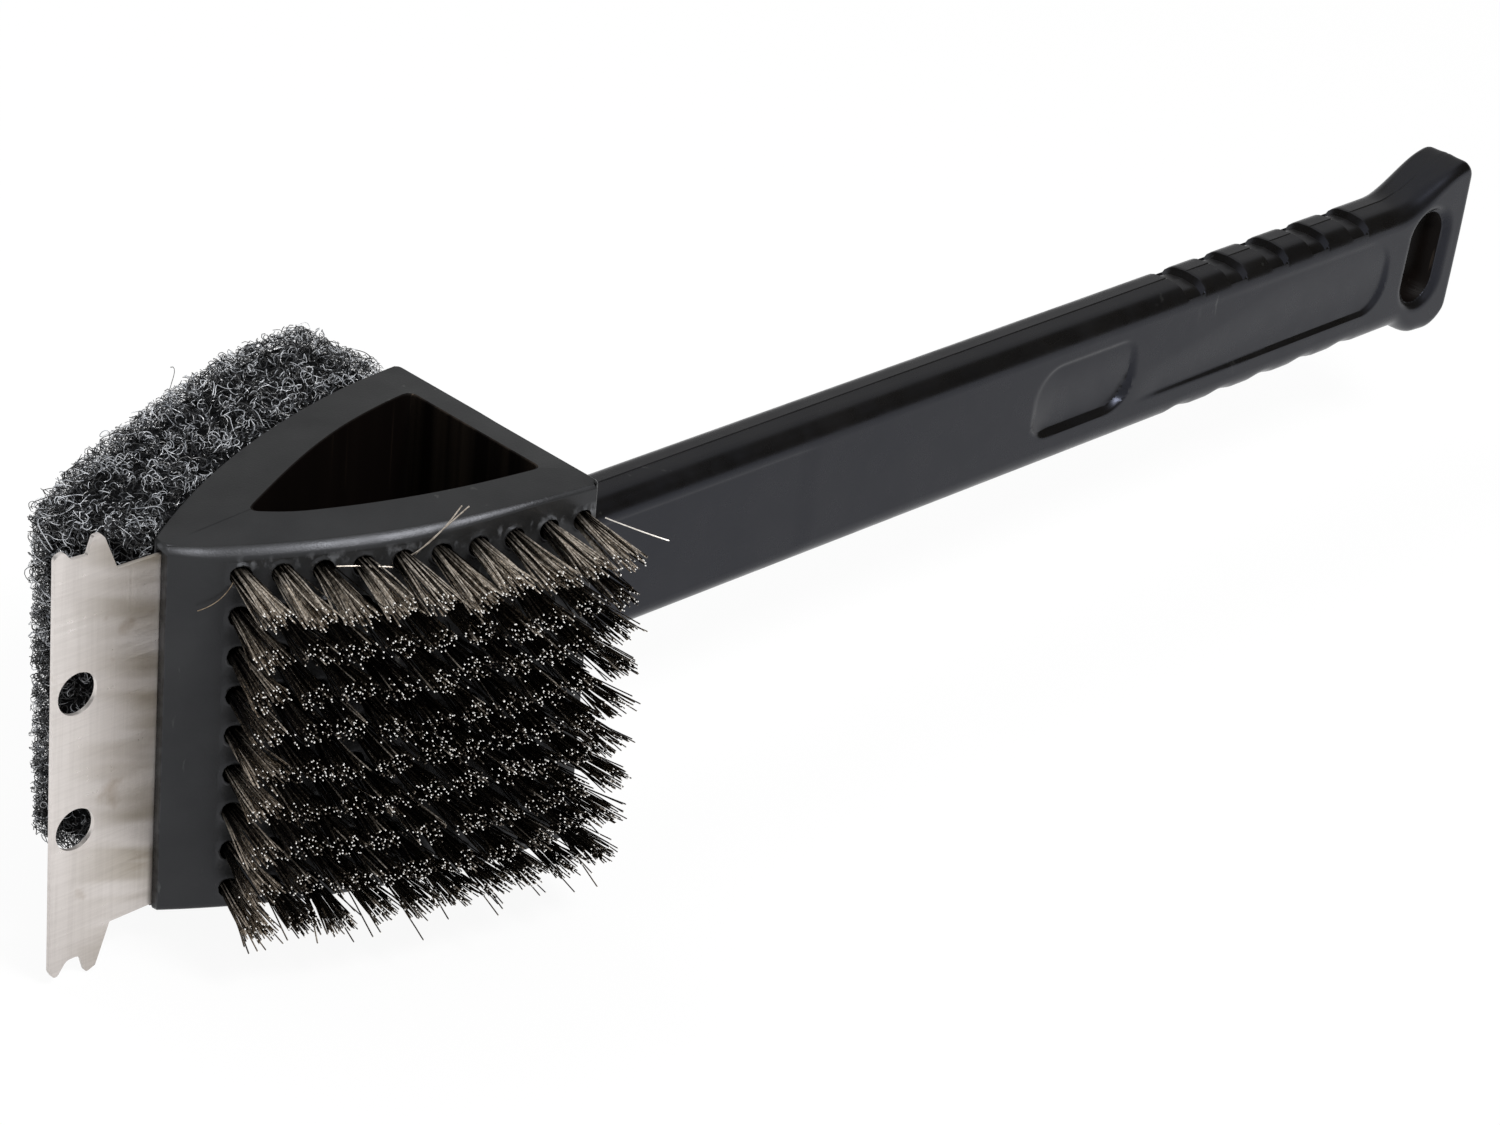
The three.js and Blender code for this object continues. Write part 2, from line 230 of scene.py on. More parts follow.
def new_board(name: str) -> tuple[Material, NodeBoard, bpy.types.Node]:
    """A fresh material with a principled surface.

    Args:
        name: the material's name.

    Returns:
        The material, its board and its surface node.
    """
    material = bpy.data.materials.new(name)
    material.use_nodes = True
    board = NodeBoard(material.node_tree)
    surface = next(node for node in board.tree.nodes if node.type == "BSDF_PRINCIPLED")
    return material, board, surface


# Finishes


@dataclass(frozen=True)
class Finish:
    """A named finish. Each kind says what its surface is fed."""

    name: str

    def feeds(self, board: NodeBoard) -> Feeds:
        """What the surface is fed, by the names of its inputs."""
        raise NotImplementedError

    def material(self) -> Material:
        """Builds the material.

        Returns:
            The material.
        """
        material, board, surface = new_board(self.name)
        board.feed(surface, self.feeds(board))
        return material


@dataclass(frozen=True)
class MouldedPlastic(Finish):
    """Black moulded plastic with a fine grain, soft sink marks and pale scuffs."""

    base: Colour
    roughness: float
    grain: float
    scuffs: float
    specular: float
    reflection_tint: Colour

    def colour(self, board: NodeBoard) -> Socket:
        """Draws a cloudy tone and the scuffs on it.

        Args:
            board: the material's board.

        Returns:
            The colour.
        """
        scuff = board.range(board.noise(420.0, 5.0, (1.0, 1.0, 0.22), (0.0, 0.35, 0.0)), 0.66, 0.78, 0.0, 1.0)
        patch = board.range(board.noise(38.0, 2.0), 0.52, 0.66, 0.0, 1.0)
        dark, light = (tuple(share * channel for channel in self.base) for share in (0.8, 1.25))
        tone = board.ramp(board.noise(90.0, 4.0), ((0.3, dark), (0.7, light)))
        return board.blend(board.maths("MULTIPLY", scuff, patch, self.scuffs), tone, (0.2, 0.2, 0.19))

    def feeds(self, board: NodeBoard) -> Feeds:
        """Adds a varied gloss, the grain and the sink marks to the tone.

        Args:
            board: the material's board.

        Returns:
            What the surface is fed.
        """
        grain = board.bump(board.noise(2600.0, 2.0), 0.00003, self.grain)
        gloss = board.noise(160.0, 4.0)
        return {
            "Base Color": self.colour(board),
            "Roughness": board.range(gloss, 0.3, 0.7, self.roughness - 0.05, self.roughness + 0.06),
            "Specular IOR Level": self.specular,
            # Painted reflection colour: the specular is tinted bluish, for the bluish surround it reflects.
            "Specular Tint": (*self.reflection_tint, 1.0),
            "Normal": board.bump(board.noise(55.0, 2.0), 0.0003, 0.12, grain),
        }


@dataclass(frozen=True)
class HeadPlastic(MouldedPlastic):
    """The head's plastic, with painted shade along a fold of its mould, painted highlights on the stapling's
    burrs and pale patches at the apex.
    """

    fold: tuple[float, float] = (6.0, 22.6)
    fold_y: float = -0.5
    glint_heights: Point = (30.8, 32.5, 34.1)
    glint_side: float = -7.5

    def colour(self, board: NodeBoard) -> Socket:
        """Draws painted shade along the fold on top, painted highlights on the burrs over the top holes, and pale
        patches at the apex.

        Args:
            board: the material's board.

        Returns:
            The colour.
        """
        place = board.brush_axes()
        # Painted shade: a thin line along the fold darkens towards black, for the shade of the crease.
        off = board.maths("ABSOLUTE", board.maths("SUBTRACT", place["Y"], self.fold_y), 0.0)
        start, end = self.fold
        line = board.range(off, 0.05, 0.16, 1.0, 0.0)
        run = board.range(place["X"], start, start + 3.0, 0.0, 0.8)
        rest = board.range(place["X"], end, end + 0.5, 1.0, 0.0)
        shadow = board.maths("MULTIPLY", line, run, rest)
        fold_shaded = board.blend(shadow, super().colour(board), (0.001, 0.001, 0.001))
        # Painted highlights: pale flecks in the strip over the top holes stand for light caught by the stapling's
        # raised burrs.
        low, middle, high = self.glint_heights
        over = board.range(place["Z"], low, middle, 0.0, 1.0)
        under = board.range(place["Z"], middle, high, 1.0, 0.0)
        face = board.range(place["Y"], self.glint_side - 1.0, self.glint_side, 1.0, 0.0)
        burr_glint = board.range(board.noise(620.0, 5.0, (1.0, 1.0, 0.6)), 0.52, 0.64, 0.0, 0.8)
        # Pale patches at the very apex, just behind where the plate comes out.
        lip = board.range(place["X"], 0.3, 1.1, 1.0, 0.0)
        apex_patches = board.range(board.noise(500.0, 3.0), 0.42, 0.56, 0.05, 0.7)
        burr_glints, pale_apex = board.maths("MULTIPLY", over, under, face, burr_glint), board.maths("MULTIPLY", lip, apex_patches)
        return board.blend(board.maths("MAXIMUM", burr_glints, pale_apex), fold_shaded, (0.12, 0.124, 0.132))


@dataclass(frozen=True)
class HollowPlastic(Finish):
    """The plastic of inner walls: painted near black as their shade, with drawn streaks that run up them."""

    name: str = "hollow_plastic"
    rear: float = 3.7
    rear_from: float = 71.1

    def feeds(self, board: NodeBoard) -> Feeds:
        """Draws the streaks, which show most on the hollow's rear wall.

        Args:
            board: the material's board.

        Returns:
            What the surface is fed.
        """
        streak = board.range(board.noise(700.0, 2.0, (1.0, 1.0, 0.02)), 0.67, 0.74, 0.0, 1.0)
        patch = board.range(board.noise(60.0, 1.0, (1.0, 1.0, 0.3)), 0.46, 0.6, 0.0, 1.0)
        faint = board.range(board.noise(260.0, 3.0, (1.0, 1.0, 0.03)), 0.4, 0.7, 0.0, 0.06)
        rear = board.range(board.brush_axes()["X"], self.rear_from, self.rear_from + 1.0, 0.12, self.rear)
        lines = board.maths("ADD", board.maths("MULTIPLY", streak, patch), faint)
        # Painted shade: the base tone is far darker than the outer plastic, for the shade inside the hollow, the
        # holes and the hanging slot.
        tone = board.ramp(
            board.maths("MULTIPLY", lines, rear), ((0.0, (0.0028, 0.0018, 0.0015)), (1.0, (0.13, 0.1, 0.075)))
        )
        return {"Base Color": tone, "Roughness": 0.5, "Specular IOR Level": 0.06}


@dataclass(frozen=True)
class BrushedSteel(Finish):
    """Stainless sheet, brushed both ways, with painted dark reflections in slanted bands near the head and a few
    stains.
    """

    name: str = "scraper_steel"
    reflection_run: tuple[float, float] = (-19.4, -2.9)
    foot_run: tuple[float, float] = (-43.7, -9.7)

    def feeds(self, board: NodeBoard) -> Feeds:
        """Lays painted reflection bands, brushing, a darker foot and stains over a pale steel.

        Args:
            board: the material's board.

        Returns:
            What the surface is fed.
        """
        fine = board.noise(1300.0, 3.0, (0.05, 1.0, 1.6))
        cross = board.noise(1100.0, 2.0, (1.6, 1.0, 0.05))
        place = board.brush_axes()
        haze = board.noise(30.0, 2.0, (1.0, 1.0, 0.6))
        tone = board.ramp(haze, ((0.35, (0.70, 0.655, 0.63)), (0.65, (0.79, 0.745, 0.715))))
        slant = {"Vector": board.coordinates(), "Rotation": (0.0, 0.3, 0.0), "Scale": (8.0, 1.0, 1.0)}
        slanted = board.add("ShaderNodeMapping", slant, vector_type="TEXTURE").outputs["Vector"]
        wide = board.add("ShaderNodeTexNoise", {"Vector": slanted, "Scale": 150.0}).outputs["Fac"]
        # Painted reflection: warm dark slanted bands near the head stand for the tufts and the head seen in the
        # steel.
        reflection_bands = board.range(wide, 0.42, 0.6, 0.0, 0.7)
        near = board.range(place["X"], *self.reflection_run, 0.0, 1.0)
        hatch = [board.range(lines, 0.4, 0.66, 0.0, 0.1) for lines in (fine, cross)]
        foot = board.range(place["Z"], *self.foot_run, 0.42, 0.0)
        stain = board.range(board.noise(120.0, 4.0), 0.64, 0.74, 0.0, 0.55)
        for share, dirt in (
            (board.maths("MULTIPLY", reflection_bands, near), (0.42, 0.38, 0.29)),
            (board.maths("ADD", *hatch, foot), (0.55, 0.54, 0.53)),
            (stain, (0.55, 0.47, 0.38)),
        ):
            tone = board.blend(share, tone, dirt, "MULTIPLY")
        fine_gloss, cross_gloss = board.range(fine, 0.3, 0.7, 0.0, 0.14), board.range(cross, 0.3, 0.7, 0.26, 0.34)
        rough = board.maths("ADD", fine_gloss, cross_gloss)
        normal = board.bump(cross, 0.00004, 0.3, board.bump(fine, 0.00005, 0.45))
        return {"Base Color": tone, "Metallic": 0.8, "Roughness": rough, "Normal": normal}


@dataclass(frozen=True)
class DrawnWire(Finish):
    """Fine steel wire, mottled along its length into painted glints, with painted shade towards its root."""

    low: Colour
    high: Colour
    roughness: float = 0.3
    root_shade: float = 0.12
    metallic: float = 1.0
    shade_depth: float = 13.0

    def feeds(self, board: NodeBoard) -> Feeds:
        """Draws the mottled tone of painted glints and darkens it with painted shade by its distance from the
        drilled face.

        Args:
            board: the material's board.

        Returns:
            What the surface is fed.
        """
        # Painted glints: light and dark dashes along the wire.
        tone = board.ramp(board.noise(1100.0, 2.0), ((0.38, self.low), (0.62, self.high)))
        arc = SideArc()
        x, y = arc.centre
        spoke = board.vector("MULTIPLY_ADD", "Vector", board.brush_spot(), (1.0, 1.0, 0.0), (-x, y, 0.0))
        away = board.vector("LENGTH", "Value", spoke)
        # Painted shade: the wire darkens towards the drilled face, for the shade deep among the tufts.
        unshaded_share = board.range(away, arc.radius + 1.0, arc.radius + self.shade_depth, self.root_shade, 1.0)
        shaded = board.add("ShaderNodeVectorMath", {0: tone, "Scale": unshaded_share}, operation="SCALE")
        rough = board.range(board.noise(3000.0, 1.0), 0.3, 0.7, self.roughness - 0.08, self.roughness + 0.1)
        return {"Base Color": shaded.outputs["Vector"], "Metallic": self.metallic, "Roughness": rough}


@dataclass(frozen=True)
class WebFibre(Finish):
    """Coarse nylon fibre, mottled, with a clear sheen."""

    low: Colour
    high: Colour

    def feeds(self, board: NodeBoard) -> Feeds:
        """Draws the mottled tone and a varied gloss.

        Args:
            board: the material's board.

        Returns:
            What the surface is fed.
        """
        return {
            "Base Color": board.ramp(board.noise(380.0, 2.0), ((0.38, self.low), (0.62, self.high))),
            "Roughness": board.range(board.noise(900.0, 1.0), 0.3, 0.7, 0.22, 0.38),
            "Specular IOR Level": 0.6,
        }


@dataclass(frozen=True)
class WebCore(Finish):
    """The depth of the pad, seen between its fibres: a near black core, painted shade."""

    name: str = "pad_core"

    def feeds(self, board: NodeBoard) -> Feeds:
        """Draws a rough, near black tone, painted shade.

        Args:
            board: the material's board.

        Returns:
            What the surface is fed.
        """
        return {
            "Base Color": board.ramp(
                board.noise(900.0, 4.0), ((0.4, (0.001, 0.001, 0.001)), (0.8, (0.012, 0.013, 0.015)))
            ),
            "Roughness": 0.9,
            "Specular IOR Level": 0.1,
            "Normal": board.bump(board.noise(700.0, 3.0), 0.0008, 0.8),
        }


# Mesh building


def smooth_share(value: float) -> float:
    """A share from 0 to 1 that starts and ends gently."""
    held = max(0.0, min(1.0, value))
    return held * held * (3.0 - 2.0 * held)


def put_in_scene(name: str, data: bpy.types.ID) -> Piece:
    """Puts a new object into the scene.

    Args:
        name: its name.
        data: its mesh, curve, lamp or camera.

    Returns:
        The object.
    """
    piece = bpy.data.objects.new(name, data)
    bpy.context.scene.collection.objects.link(piece)
    return piece


def evaluated_mesh(piece: Piece) -> bpy.types.Mesh:
    """Works out a piece's modifiers, or a curve's bevel.

    Args:
        piece: the piece.

    Returns:
        A new mesh of it.
    """
    bpy.context.view_layer.update()
    graph = bpy.context.evaluated_depsgraph_get()
    return bpy.data.meshes.new_from_object(piece.evaluated_get(graph), depsgraph=graph)


def finished_piece(name: str, mesh: bpy.types.Mesh, sharp: float) -> Piece:
    """Puts a mesh into the scene, shaded smooth but for its sharp edges.

    Args:
        name: the piece's name.
        mesh: its mesh.
        sharp: edges over this many degrees stay crisp.

    Returns:
        The piece.
    """
    mesh.shade_smooth()
    mesh.set_sharp_from_angle(angle=math.radians(sharp))
    return put_in_scene(name, mesh)


def settle(shell: Shell, name: str, materials: Sequence[Material], sharp: float = 40.0) -> Piece:
    """Turns a mesh drawn in the brush's millimetres into a finished object of the shared frame.

    Args:
        shell: the mesh, which is freed.
        name: the piece's name.
        materials: its finishes, in slot order.
        sharp: edges over this many degrees stay crisp.

    Returns:
        The new object, at the origin, with its place in its mesh.
    """
    bmesh.ops.remove_doubles(shell, verts=shell.verts, dist=0.0005)
    bmesh.ops.recalc_face_normals(shell, faces=shell.faces)
    bmesh.ops.translate(shell, verts=shell.verts, vec=-ORIGIN)
    bmesh.ops.scale(shell, verts=shell.verts, vec=Vector(EVEN) * MILLIMETRE)
    mesh = bpy.data.meshes.new(name)
    shell.to_mesh(mesh)
    shell.free()
    for material in materials:
        mesh.materials.append(material)
    return finished_piece(name, mesh, sharp)


def draw_loop(shell: Shell, points: Sequence[Vector]) -> tuple[Ring, list[bmesh.types.BMEdge]]:
    """Draws a closed loop through points and gives its vertices and edges."""
    ring = [shell.verts.new(point) for point in points]
    return ring, [shell.edges.new((ring[i - 1], ring[i])) for i in range(len(ring))]


def loft(shell: Shell, stations: Sequence[Sequence[Vector]]) -> list[Ring]:
    """Draws a closed loop and extrudes it from station to station.

    Args:
        shell: the mesh to draw in.
        stations: loops of points, each with the same count.

    Returns:
        The vertices of each loop, in order.
    """
    ring, edges = draw_loop(shell, stations[0])
    rings = [ring]
    for points in stations[1:]:
        grown = bmesh.ops.extrude_edge_only(shell, edges=edges)["geom"]
        fresh = {item for item in grown if isinstance(item, bmesh.types.BMVert)}
        edges = [item for item in grown if isinstance(item, bmesh.types.BMEdge)]
        ring = []
        for vert, point in zip(rings[-1], points):
            new = next(edge.other_vert(vert) for edge in vert.link_edges if edge.other_vert(vert) in fresh)
            new.co = point
            ring.append(new)
        rings.append(ring)
    return rings


def ring_edges(ring: Ring) -> list[bmesh.types.BMEdge]:
    """Finds the edges that join a closed loop of vertices.

    Args:
        ring: the vertices, in order.

    Returns:
        The edges, in order.
    """
    edges = []
    for first, second in zip(ring, [*ring[1:], ring[0]]):
        edges.append(next(edge for edge in first.link_edges if edge.other_vert(first) == second))
    return edges


def fillet(corners: Sequence[Point], steps: int = 6) -> list[tuple[float, float]]:
    """Rounds the corners of a closed outline.

    Args:
        corners: both coordinates of each corner, with its radius.
        steps: pieces in each rounded corner.

    Returns:
        The outline's points.
    """
    outline: list[tuple[float, float]] = []
    for index, (x, y, radius) in enumerate(corners):
        here = Vector((x, y))
        back = (Vector(corners[index - 1][:2]) - here).normalized()
        ahead = (Vector(corners[(index + 1) % len(corners)][:2]) - here).normalized()
        if radius <= 0.0:
            outline.append((x, y))
            continue
        half_angle = 0.5 * back.angle(ahead)
        reach = radius / math.tan(half_angle)
        centre = here + (back + ahead).normalized() * (radius / math.sin(half_angle))
        start, end = here + back * reach - centre, here + ahead * reach - centre
        first = math.atan2(start.y, start.x)
        sweep = (math.atan2(end.y, end.x) - first + math.pi) % (2.0 * math.pi) - math.pi
        for step in range(steps + 1):
            angle = first + sweep * step / steps
            outline.append((centre.x + radius * math.cos(angle), centre.y + radius * math.sin(angle)))
    return outline


def carve(piece: Piece, cutter: Piece) -> None:
    """Cuts one closed piece out of another and removes it.

    Args:
        piece: the piece to cut.
        cutter: the piece that is cut out of it.
    """
    cut = piece.modifiers.new("cut", "BOOLEAN")
    cut.operation = "DIFFERENCE"
    cut.solver = "EXACT"
    cut.object = cutter
    whole, carved = piece.data, evaluated_mesh(piece)
    carved.name = piece.name
    piece.modifiers.clear()
    piece.data = carved
    cutter_mesh = cutter.data
    bpy.data.objects.remove(cutter)
    for mesh in (whole, cutter_mesh):
        bpy.data.meshes.remove(mesh)


@dataclass(frozen=True)
class Strand:
    """One thin strand: its path in millimetres, its thickness and its finish's place in the slots."""

    path: np.ndarray
    radius: float
    finish: int = 0


def spin_strands(name: str, strands: Sequence[Strand], materials: Sequence[Material]) -> Piece:
    """Builds many thin four-sided strands as one piece, from curves with a bevel.

    Args:
        name: the piece's name.
        strands: the strands.
        materials: finishes, in slot order.

    Returns:
        The finished mesh object.
    """
    curve = bpy.data.curves.new(name, "CURVE")
    curve.dimensions = "3D"
    curve.bevel_depth = MILLIMETRE
    curve.bevel_resolution = 0
    curve.use_fill_caps = True
    for material in materials:
        curve.materials.append(material)
    origin = np.array(ORIGIN)
    for strand in strands:
        spline = curve.splines.new("POLY")
        spline.points.add(len(strand.path) - 1)
        spots = np.ones((len(strand.path), 4))
        spots[:, :3] = (strand.path - origin) * MILLIMETRE
        spline.points.foreach_set("co", spots.ravel())
        spline.points.foreach_set("radius", np.full(len(strand.path), strand.radius))
        spline.material_index = strand.finish
    holder = put_in_scene(name, curve)
    mesh = evaluated_mesh(holder)
    bpy.data.objects.remove(holder)
    bpy.data.curves.remove(curve)
    return finished_piece(name, mesh, 75.0)


# The head


@dataclass(frozen=True)
class SideArc:
    """The circle that both curved faces of the head follow."""

    length: float = 78.0
    width: float = 57.0
    apex: float = 2.4
    radius: float = 153.0

    @property
    def centre(self) -> tuple[float, float]:
        """The circle's centre for the +Y face.

        Returns:
            Its X and Y.
        """
        run, rise = self.length, 0.5 * (self.width - self.apex)
        chord = math.hypot(run, rise)
        drop = math.sqrt(self.radius**2 - (0.5 * chord) ** 2)
        return 0.5 * run + drop * rise / chord, 0.25 * (self.width + self.apex) - drop * run / chord

    @property
    def start(self) -> float:
        """The circle's angle at the apex, turned from +Y towards +X."""
        return math.asin(-self.centre[0] / self.radius)

    @property
    def reach(self) -> float:
        """Length along the face from the apex to the rear corner."""
        return self.radius * (math.asin((self.length - self.centre[0]) / self.radius) - self.start)

    def normal(self, along: float, side: int) -> Vector:
        """The face's outward direction at a length along it."""
        angle = self.start + along / self.radius
        return Vector((math.sin(angle), side * math.cos(angle), 0.0))

    def point(self, along: float, side: int, height: float, out: float = 0.0) -> Vector:
        """A point on or off the face.

        Args:
            along: length from the apex.
            side: 1 for the pad's face and -1 for the wires' face.
            height: Z of the point.
            out: distance outwards from the face.

        Returns:
            The point.
        """
        x, y = self.centre
        foot = Vector((x, side * y, height))
        return foot + self.normal(along, side) * (self.radius + out)


@dataclass(frozen=True)
class TuftGrid:
    """Where the wire tufts stand on the head's face, and which way they point."""

    columns: int = 10
    rows: int = 9
    column_pitch: float = 7.3
    row_pitch: float = 8.04
    first: float = 14.0
    drop: float = 1.6
    rise: float = 0.7
    margin: float = 2.9
    front_lean: float = 18.0
    rear_lean: float = 12.0
    turn_up: float = 0.07
    rear_turn_up: float = 0.13

    @property
    def top_row(self) -> int:
        """The highest row."""
        return self.rows - 1

    @property
    def last_column(self) -> int:
        """The column furthest from the apex."""
        return self.columns - 1

    def along(self, column: int) -> float:
        """Length along the face to a column."""
        return self.first + column * self.column_pitch

    def height(self, row: int, column: float) -> float:
        """Height of a row where a column crosses it."""
        climb = self.rise * (column / self.last_column - 0.5)
        return climb - self.drop + (row - 0.5 * self.top_row) * self.row_pitch

    def column_edges(self) -> list[float]:
        """Lengths along the face at which the cells round the columns meet."""
        inner = [self.along(k) + 0.5 * self.column_pitch for k in range(self.last_column)]
        return [self.first - self.margin, *inner, self.along(self.last_column) + self.margin]

    def row_edges(self) -> list[float]:
        """Heights at which the cells round the rows meet.

        Returns:
            The heights, from the bottom up.
        """
        middle = 0.5 * self.last_column
        inner = [self.height(row, middle) + 0.5 * self.row_pitch for row in range(self.top_row)]
        low, high = self.height(0, middle) - self.margin, self.height(self.top_row, middle) + self.margin
        return [low, *inner, high]

    def direction(self, column: int, row: int) -> Vector:
        """The way a tuft points: it leans to the apex, and turns up where it stands low and far back.

        Args:
            column: the tuft's column.
            row: the tuft's row.

        Returns:
            Its direction.
        """
        lean = math.radians(self.front_lean - (self.front_lean - self.rear_lean) * column / self.last_column)
        climb = (1.0 - row / self.top_row) * (self.turn_up + self.rear_turn_up * column / self.last_column)
        return Vector((-math.sin(lean), -math.cos(lean), climb))


@dataclass(frozen=True)
class RimPoint:
    """A point of the head's outline from above: its outward way and how round the top edge is there."""

    spot: Vector
    way: Vector
    softness: float

    def across(self, softness: float) -> "RimPoint":
        """The same point on the pad's side."""
        spot, way = (Vector((vector.x, -vector.y, 0.0)) for vector in (self.spot, self.way))
        return RimPoint(spot, way, softness)


@dataclass(frozen=True)
class Level:
    """A level of the head's outer wall. Where the top edge is rounder, its drop and pull count for more."""

    height: float
    drop: float = 0.0
    pull: float = 0.0
    inset: float = 0.0


@dataclass
class BrushHead:
    """The hollow wedge head, with a drilled face for the wires and a slot for the scraper.

    The edge profile holds the drop and pull of each level of the top edge, the foot profile the rise
    and inset of each level of the lower edge, and the mouth profile how deep each level of the
    hollow's mouth lies and how far it is widened. The hole profile holds the share of the radius, the
    lift of the burr and the depth of each step of a tuft hole.
    """

    arc: SideArc
    grid: TuftGrid
    top: float = 37.46
    bottom: float = -38.25
    pitch: float = 0.0175
    level_from: float = 66.0
    middle: float = 35.0
    corner: float = 1.5
    nose: float = 1.15
    nose_out: float = 0.45
    nose_softness: float = 0.6
    rear_softness: float = 0.4
    far_softness: float = 0.35
    near_wall: float = 9.4
    far_wall: float = 10.4
    rear_wall: float = 6.3
    hollow_nose: float = 2.6
    hollow_corners: tuple[float, float] = (1.6, 2.0)
    hole_radius: float = 2.0
    hole_burr_steps: int = 3
    hole_profile: tuple[Point, ...] = (
        (1.4, 0.0, 0.0),
        (1.16, 0.26, 0.0),
        (1.03, 0.24, 0.0),
        (0.95, 0.0, 0.35),
        (0.9, 0.0, 3.2),
    )
    edge_profile: tuple[tuple[float, float], ...] = (
        (2.6, 0.0),
        (2.3, 0.06),
        (2.0, 0.24),
        (1.7, 0.5),
        (1.4, 0.78),
        (1.2, 1.1),
        (1.22, 1.34),
        (1.14, 1.5),
    )
    foot_profile: tuple[tuple[float, float], ...] = ((0.0, 1.0), (0.16, 0.5), (0.45, 0.18), (0.9, 0.0))
    mouth_profile: tuple[tuple[float, float], ...] = ((0.0, 0.35), (0.12, 0.1), (0.45, 0.0))
    lead_steps: int = 5
    cell_steps: int = 4
    slot_top: float = 34.9
    slot_depth: float = 14.3
    slot_width: float = 1.2
    slot_overrun: float = 5.0
    rng: np.random.Generator = field(default_factory=lambda: np.random.default_rng(11))

    def spots(self) -> list[float]:
        """Lengths along the drilled face at which the outline has a point.

        Returns:
            The lengths, from the apex on.
        """
        edges = self.grid.column_edges()
        found = list(np.linspace(self.nose, edges[0], self.lead_steps))
        for low, high in zip(edges, edges[1:]):
            found.extend(np.linspace(low, high, self.cell_steps + 1)[1:])
        return found

    def dip(self, x: float) -> float:
        """How far the head's levels drop towards the apex."""
        return self.pitch * (min(x, self.level_from) - self.middle)

    def softness(self, along: float) -> float:
        """How round the top edge is along the drilled face: most behind the apex, least at the rear."""
        return (1.0 + 0.5 * smooth_share(along / 10.0)) * (1.0 - 0.55 * smooth_share((along - 38.0) / 36.0))

    def rim(self) -> list[RimPoint]:
        """The head's outline from above.

        Returns:
            Points from the apex along the drilled face, the rear wall and the pad's face.
        """
        arc, forwards, rearwards = self.arc, Vector((-1.0, 0.0, 0.0)), Vector((1.0, 0.0, 0.0))
        half = []
        for along in self.spots():
            half.append(RimPoint(arc.point(along, -1, 0.0), arc.normal(along, -1), self.softness(along)))
        nose = RimPoint(Vector((half[0].spot.x - self.nose_out, 0.0, 0.0)), forwards, self.nose_softness)
        centre = arc.point(arc.reach - self.corner, -1, 0.0, -self.corner)
        centre.x = arc.length - self.corner
        first = arc.normal(arc.reach - self.corner, -1)
        for share in np.linspace(0.2, 1.0, 5):
            way = first.lerp(rearwards, share).normalized()
            half.append(RimPoint(centre + way * self.corner, way, self.rear_softness))
        for share in np.linspace(0.0, 1.0, 7)[1:-1]:
            spot = Vector((arc.length, centre.y * (1.0 - share), 0.0))
            half.append(RimPoint(spot, rearwards, self.rear_softness))
        rear = RimPoint(Vector((arc.length, 0.0, 0.0)), rearwards, self.rear_softness)
        return [nose, *half, rear, *(point.across(self.far_softness) for point in reversed(half))]

    def levels(self) -> list[Level]:
        """The levels of the outer wall.

        Returns:
            The levels, from the bottom up.
        """
        rows = self.grid.row_edges()
        levels = [Level(self.bottom + up, inset=inset) for up, inset in self.foot_profile]
        for low, high in zip(rows, rows[1:]):
            levels += [Level(height) for height in np.linspace(low, high, self.cell_steps + 1)[:-1]]
        levels.append(Level(rows[-1]))
        return levels + [Level(self.top, drop, pull) for drop, pull in self.edge_profile]

    def outer_stations(self) -> list[list[Vector]]:
        """The outline's points at each level.

        Returns:
            A loop of points for each level, from the bottom up.
        """
        rim, stations = self.rim(), []
        for level in self.levels():
            station = []
            for point in rim:
                place = point.spot - point.way * (point.softness * level.pull + level.inset)
                height = level.height - point.softness * level.drop + self.dip(place.x)
                station.append(Vector((place.x, place.y, height)))
            stations.append(station)
        return stations

    def wall_point(self, along: float, side: int, grow: float) -> Vector:
        """A point of the hollow's curved wall from above. Both walls are thicker towards the apex.

        Args:
            along: length along the head's face from the apex.
            side: 1 for the pad's side and -1 for the wires' side.
            grow: how far the hollow is widened.

        Returns:
            The point, at height 0.
        """
        if side > 0:
            thicker = 1.5 * (1.0 - smooth_share((along - 22.0) / 40.0))
            return self.arc.point(along, 1, 0.0, grow - self.far_wall - thicker)
        thicker = 1.3 * max(0.0, (27.0 - along) / 9.0) ** 1.5
        return self.arc.point(along, -1, 0.0, grow - self.near_wall - thicker)

    def hollow_side(self, side: int, bend: float, start: float, grow: float) -> list[Vector]:
        """One side of the hollow's outline, from its nose round its rear corner.

        Args:
            side: 1 for the pad's side and -1 for the wires' side.
            bend: the rear corner's radius.
            start: length along the head's face to the nose.
            grow: how far the hollow is widened.

        Returns:
            The side's points.
        """
        back = self.arc.length - self.rear_wall + grow
        spots = self.hollow_spots()
        end = max(spot for spot in spots if self.wall_point(spot, side, grow).x < back - bend)
        run = [self.wall_point(spot, side, grow) for spot in np.linspace(start, end, 27)]
        edge_y = run[-1].y + side * 0.12
        turn = [
            Vector((back - bend + bend * math.sin(a), edge_y - side * bend * (1.0 - math.cos(a)), 0.0))
            for a in (0.5, 0.9, 1.25, 1.57)
        ]
        return [*run, *turn]

    def hollow_spots(self) -> np.ndarray:
        """Lengths along the face at which the hollow's ends are looked for."""
        return np.linspace(12.0, self.arc.reach, 600)

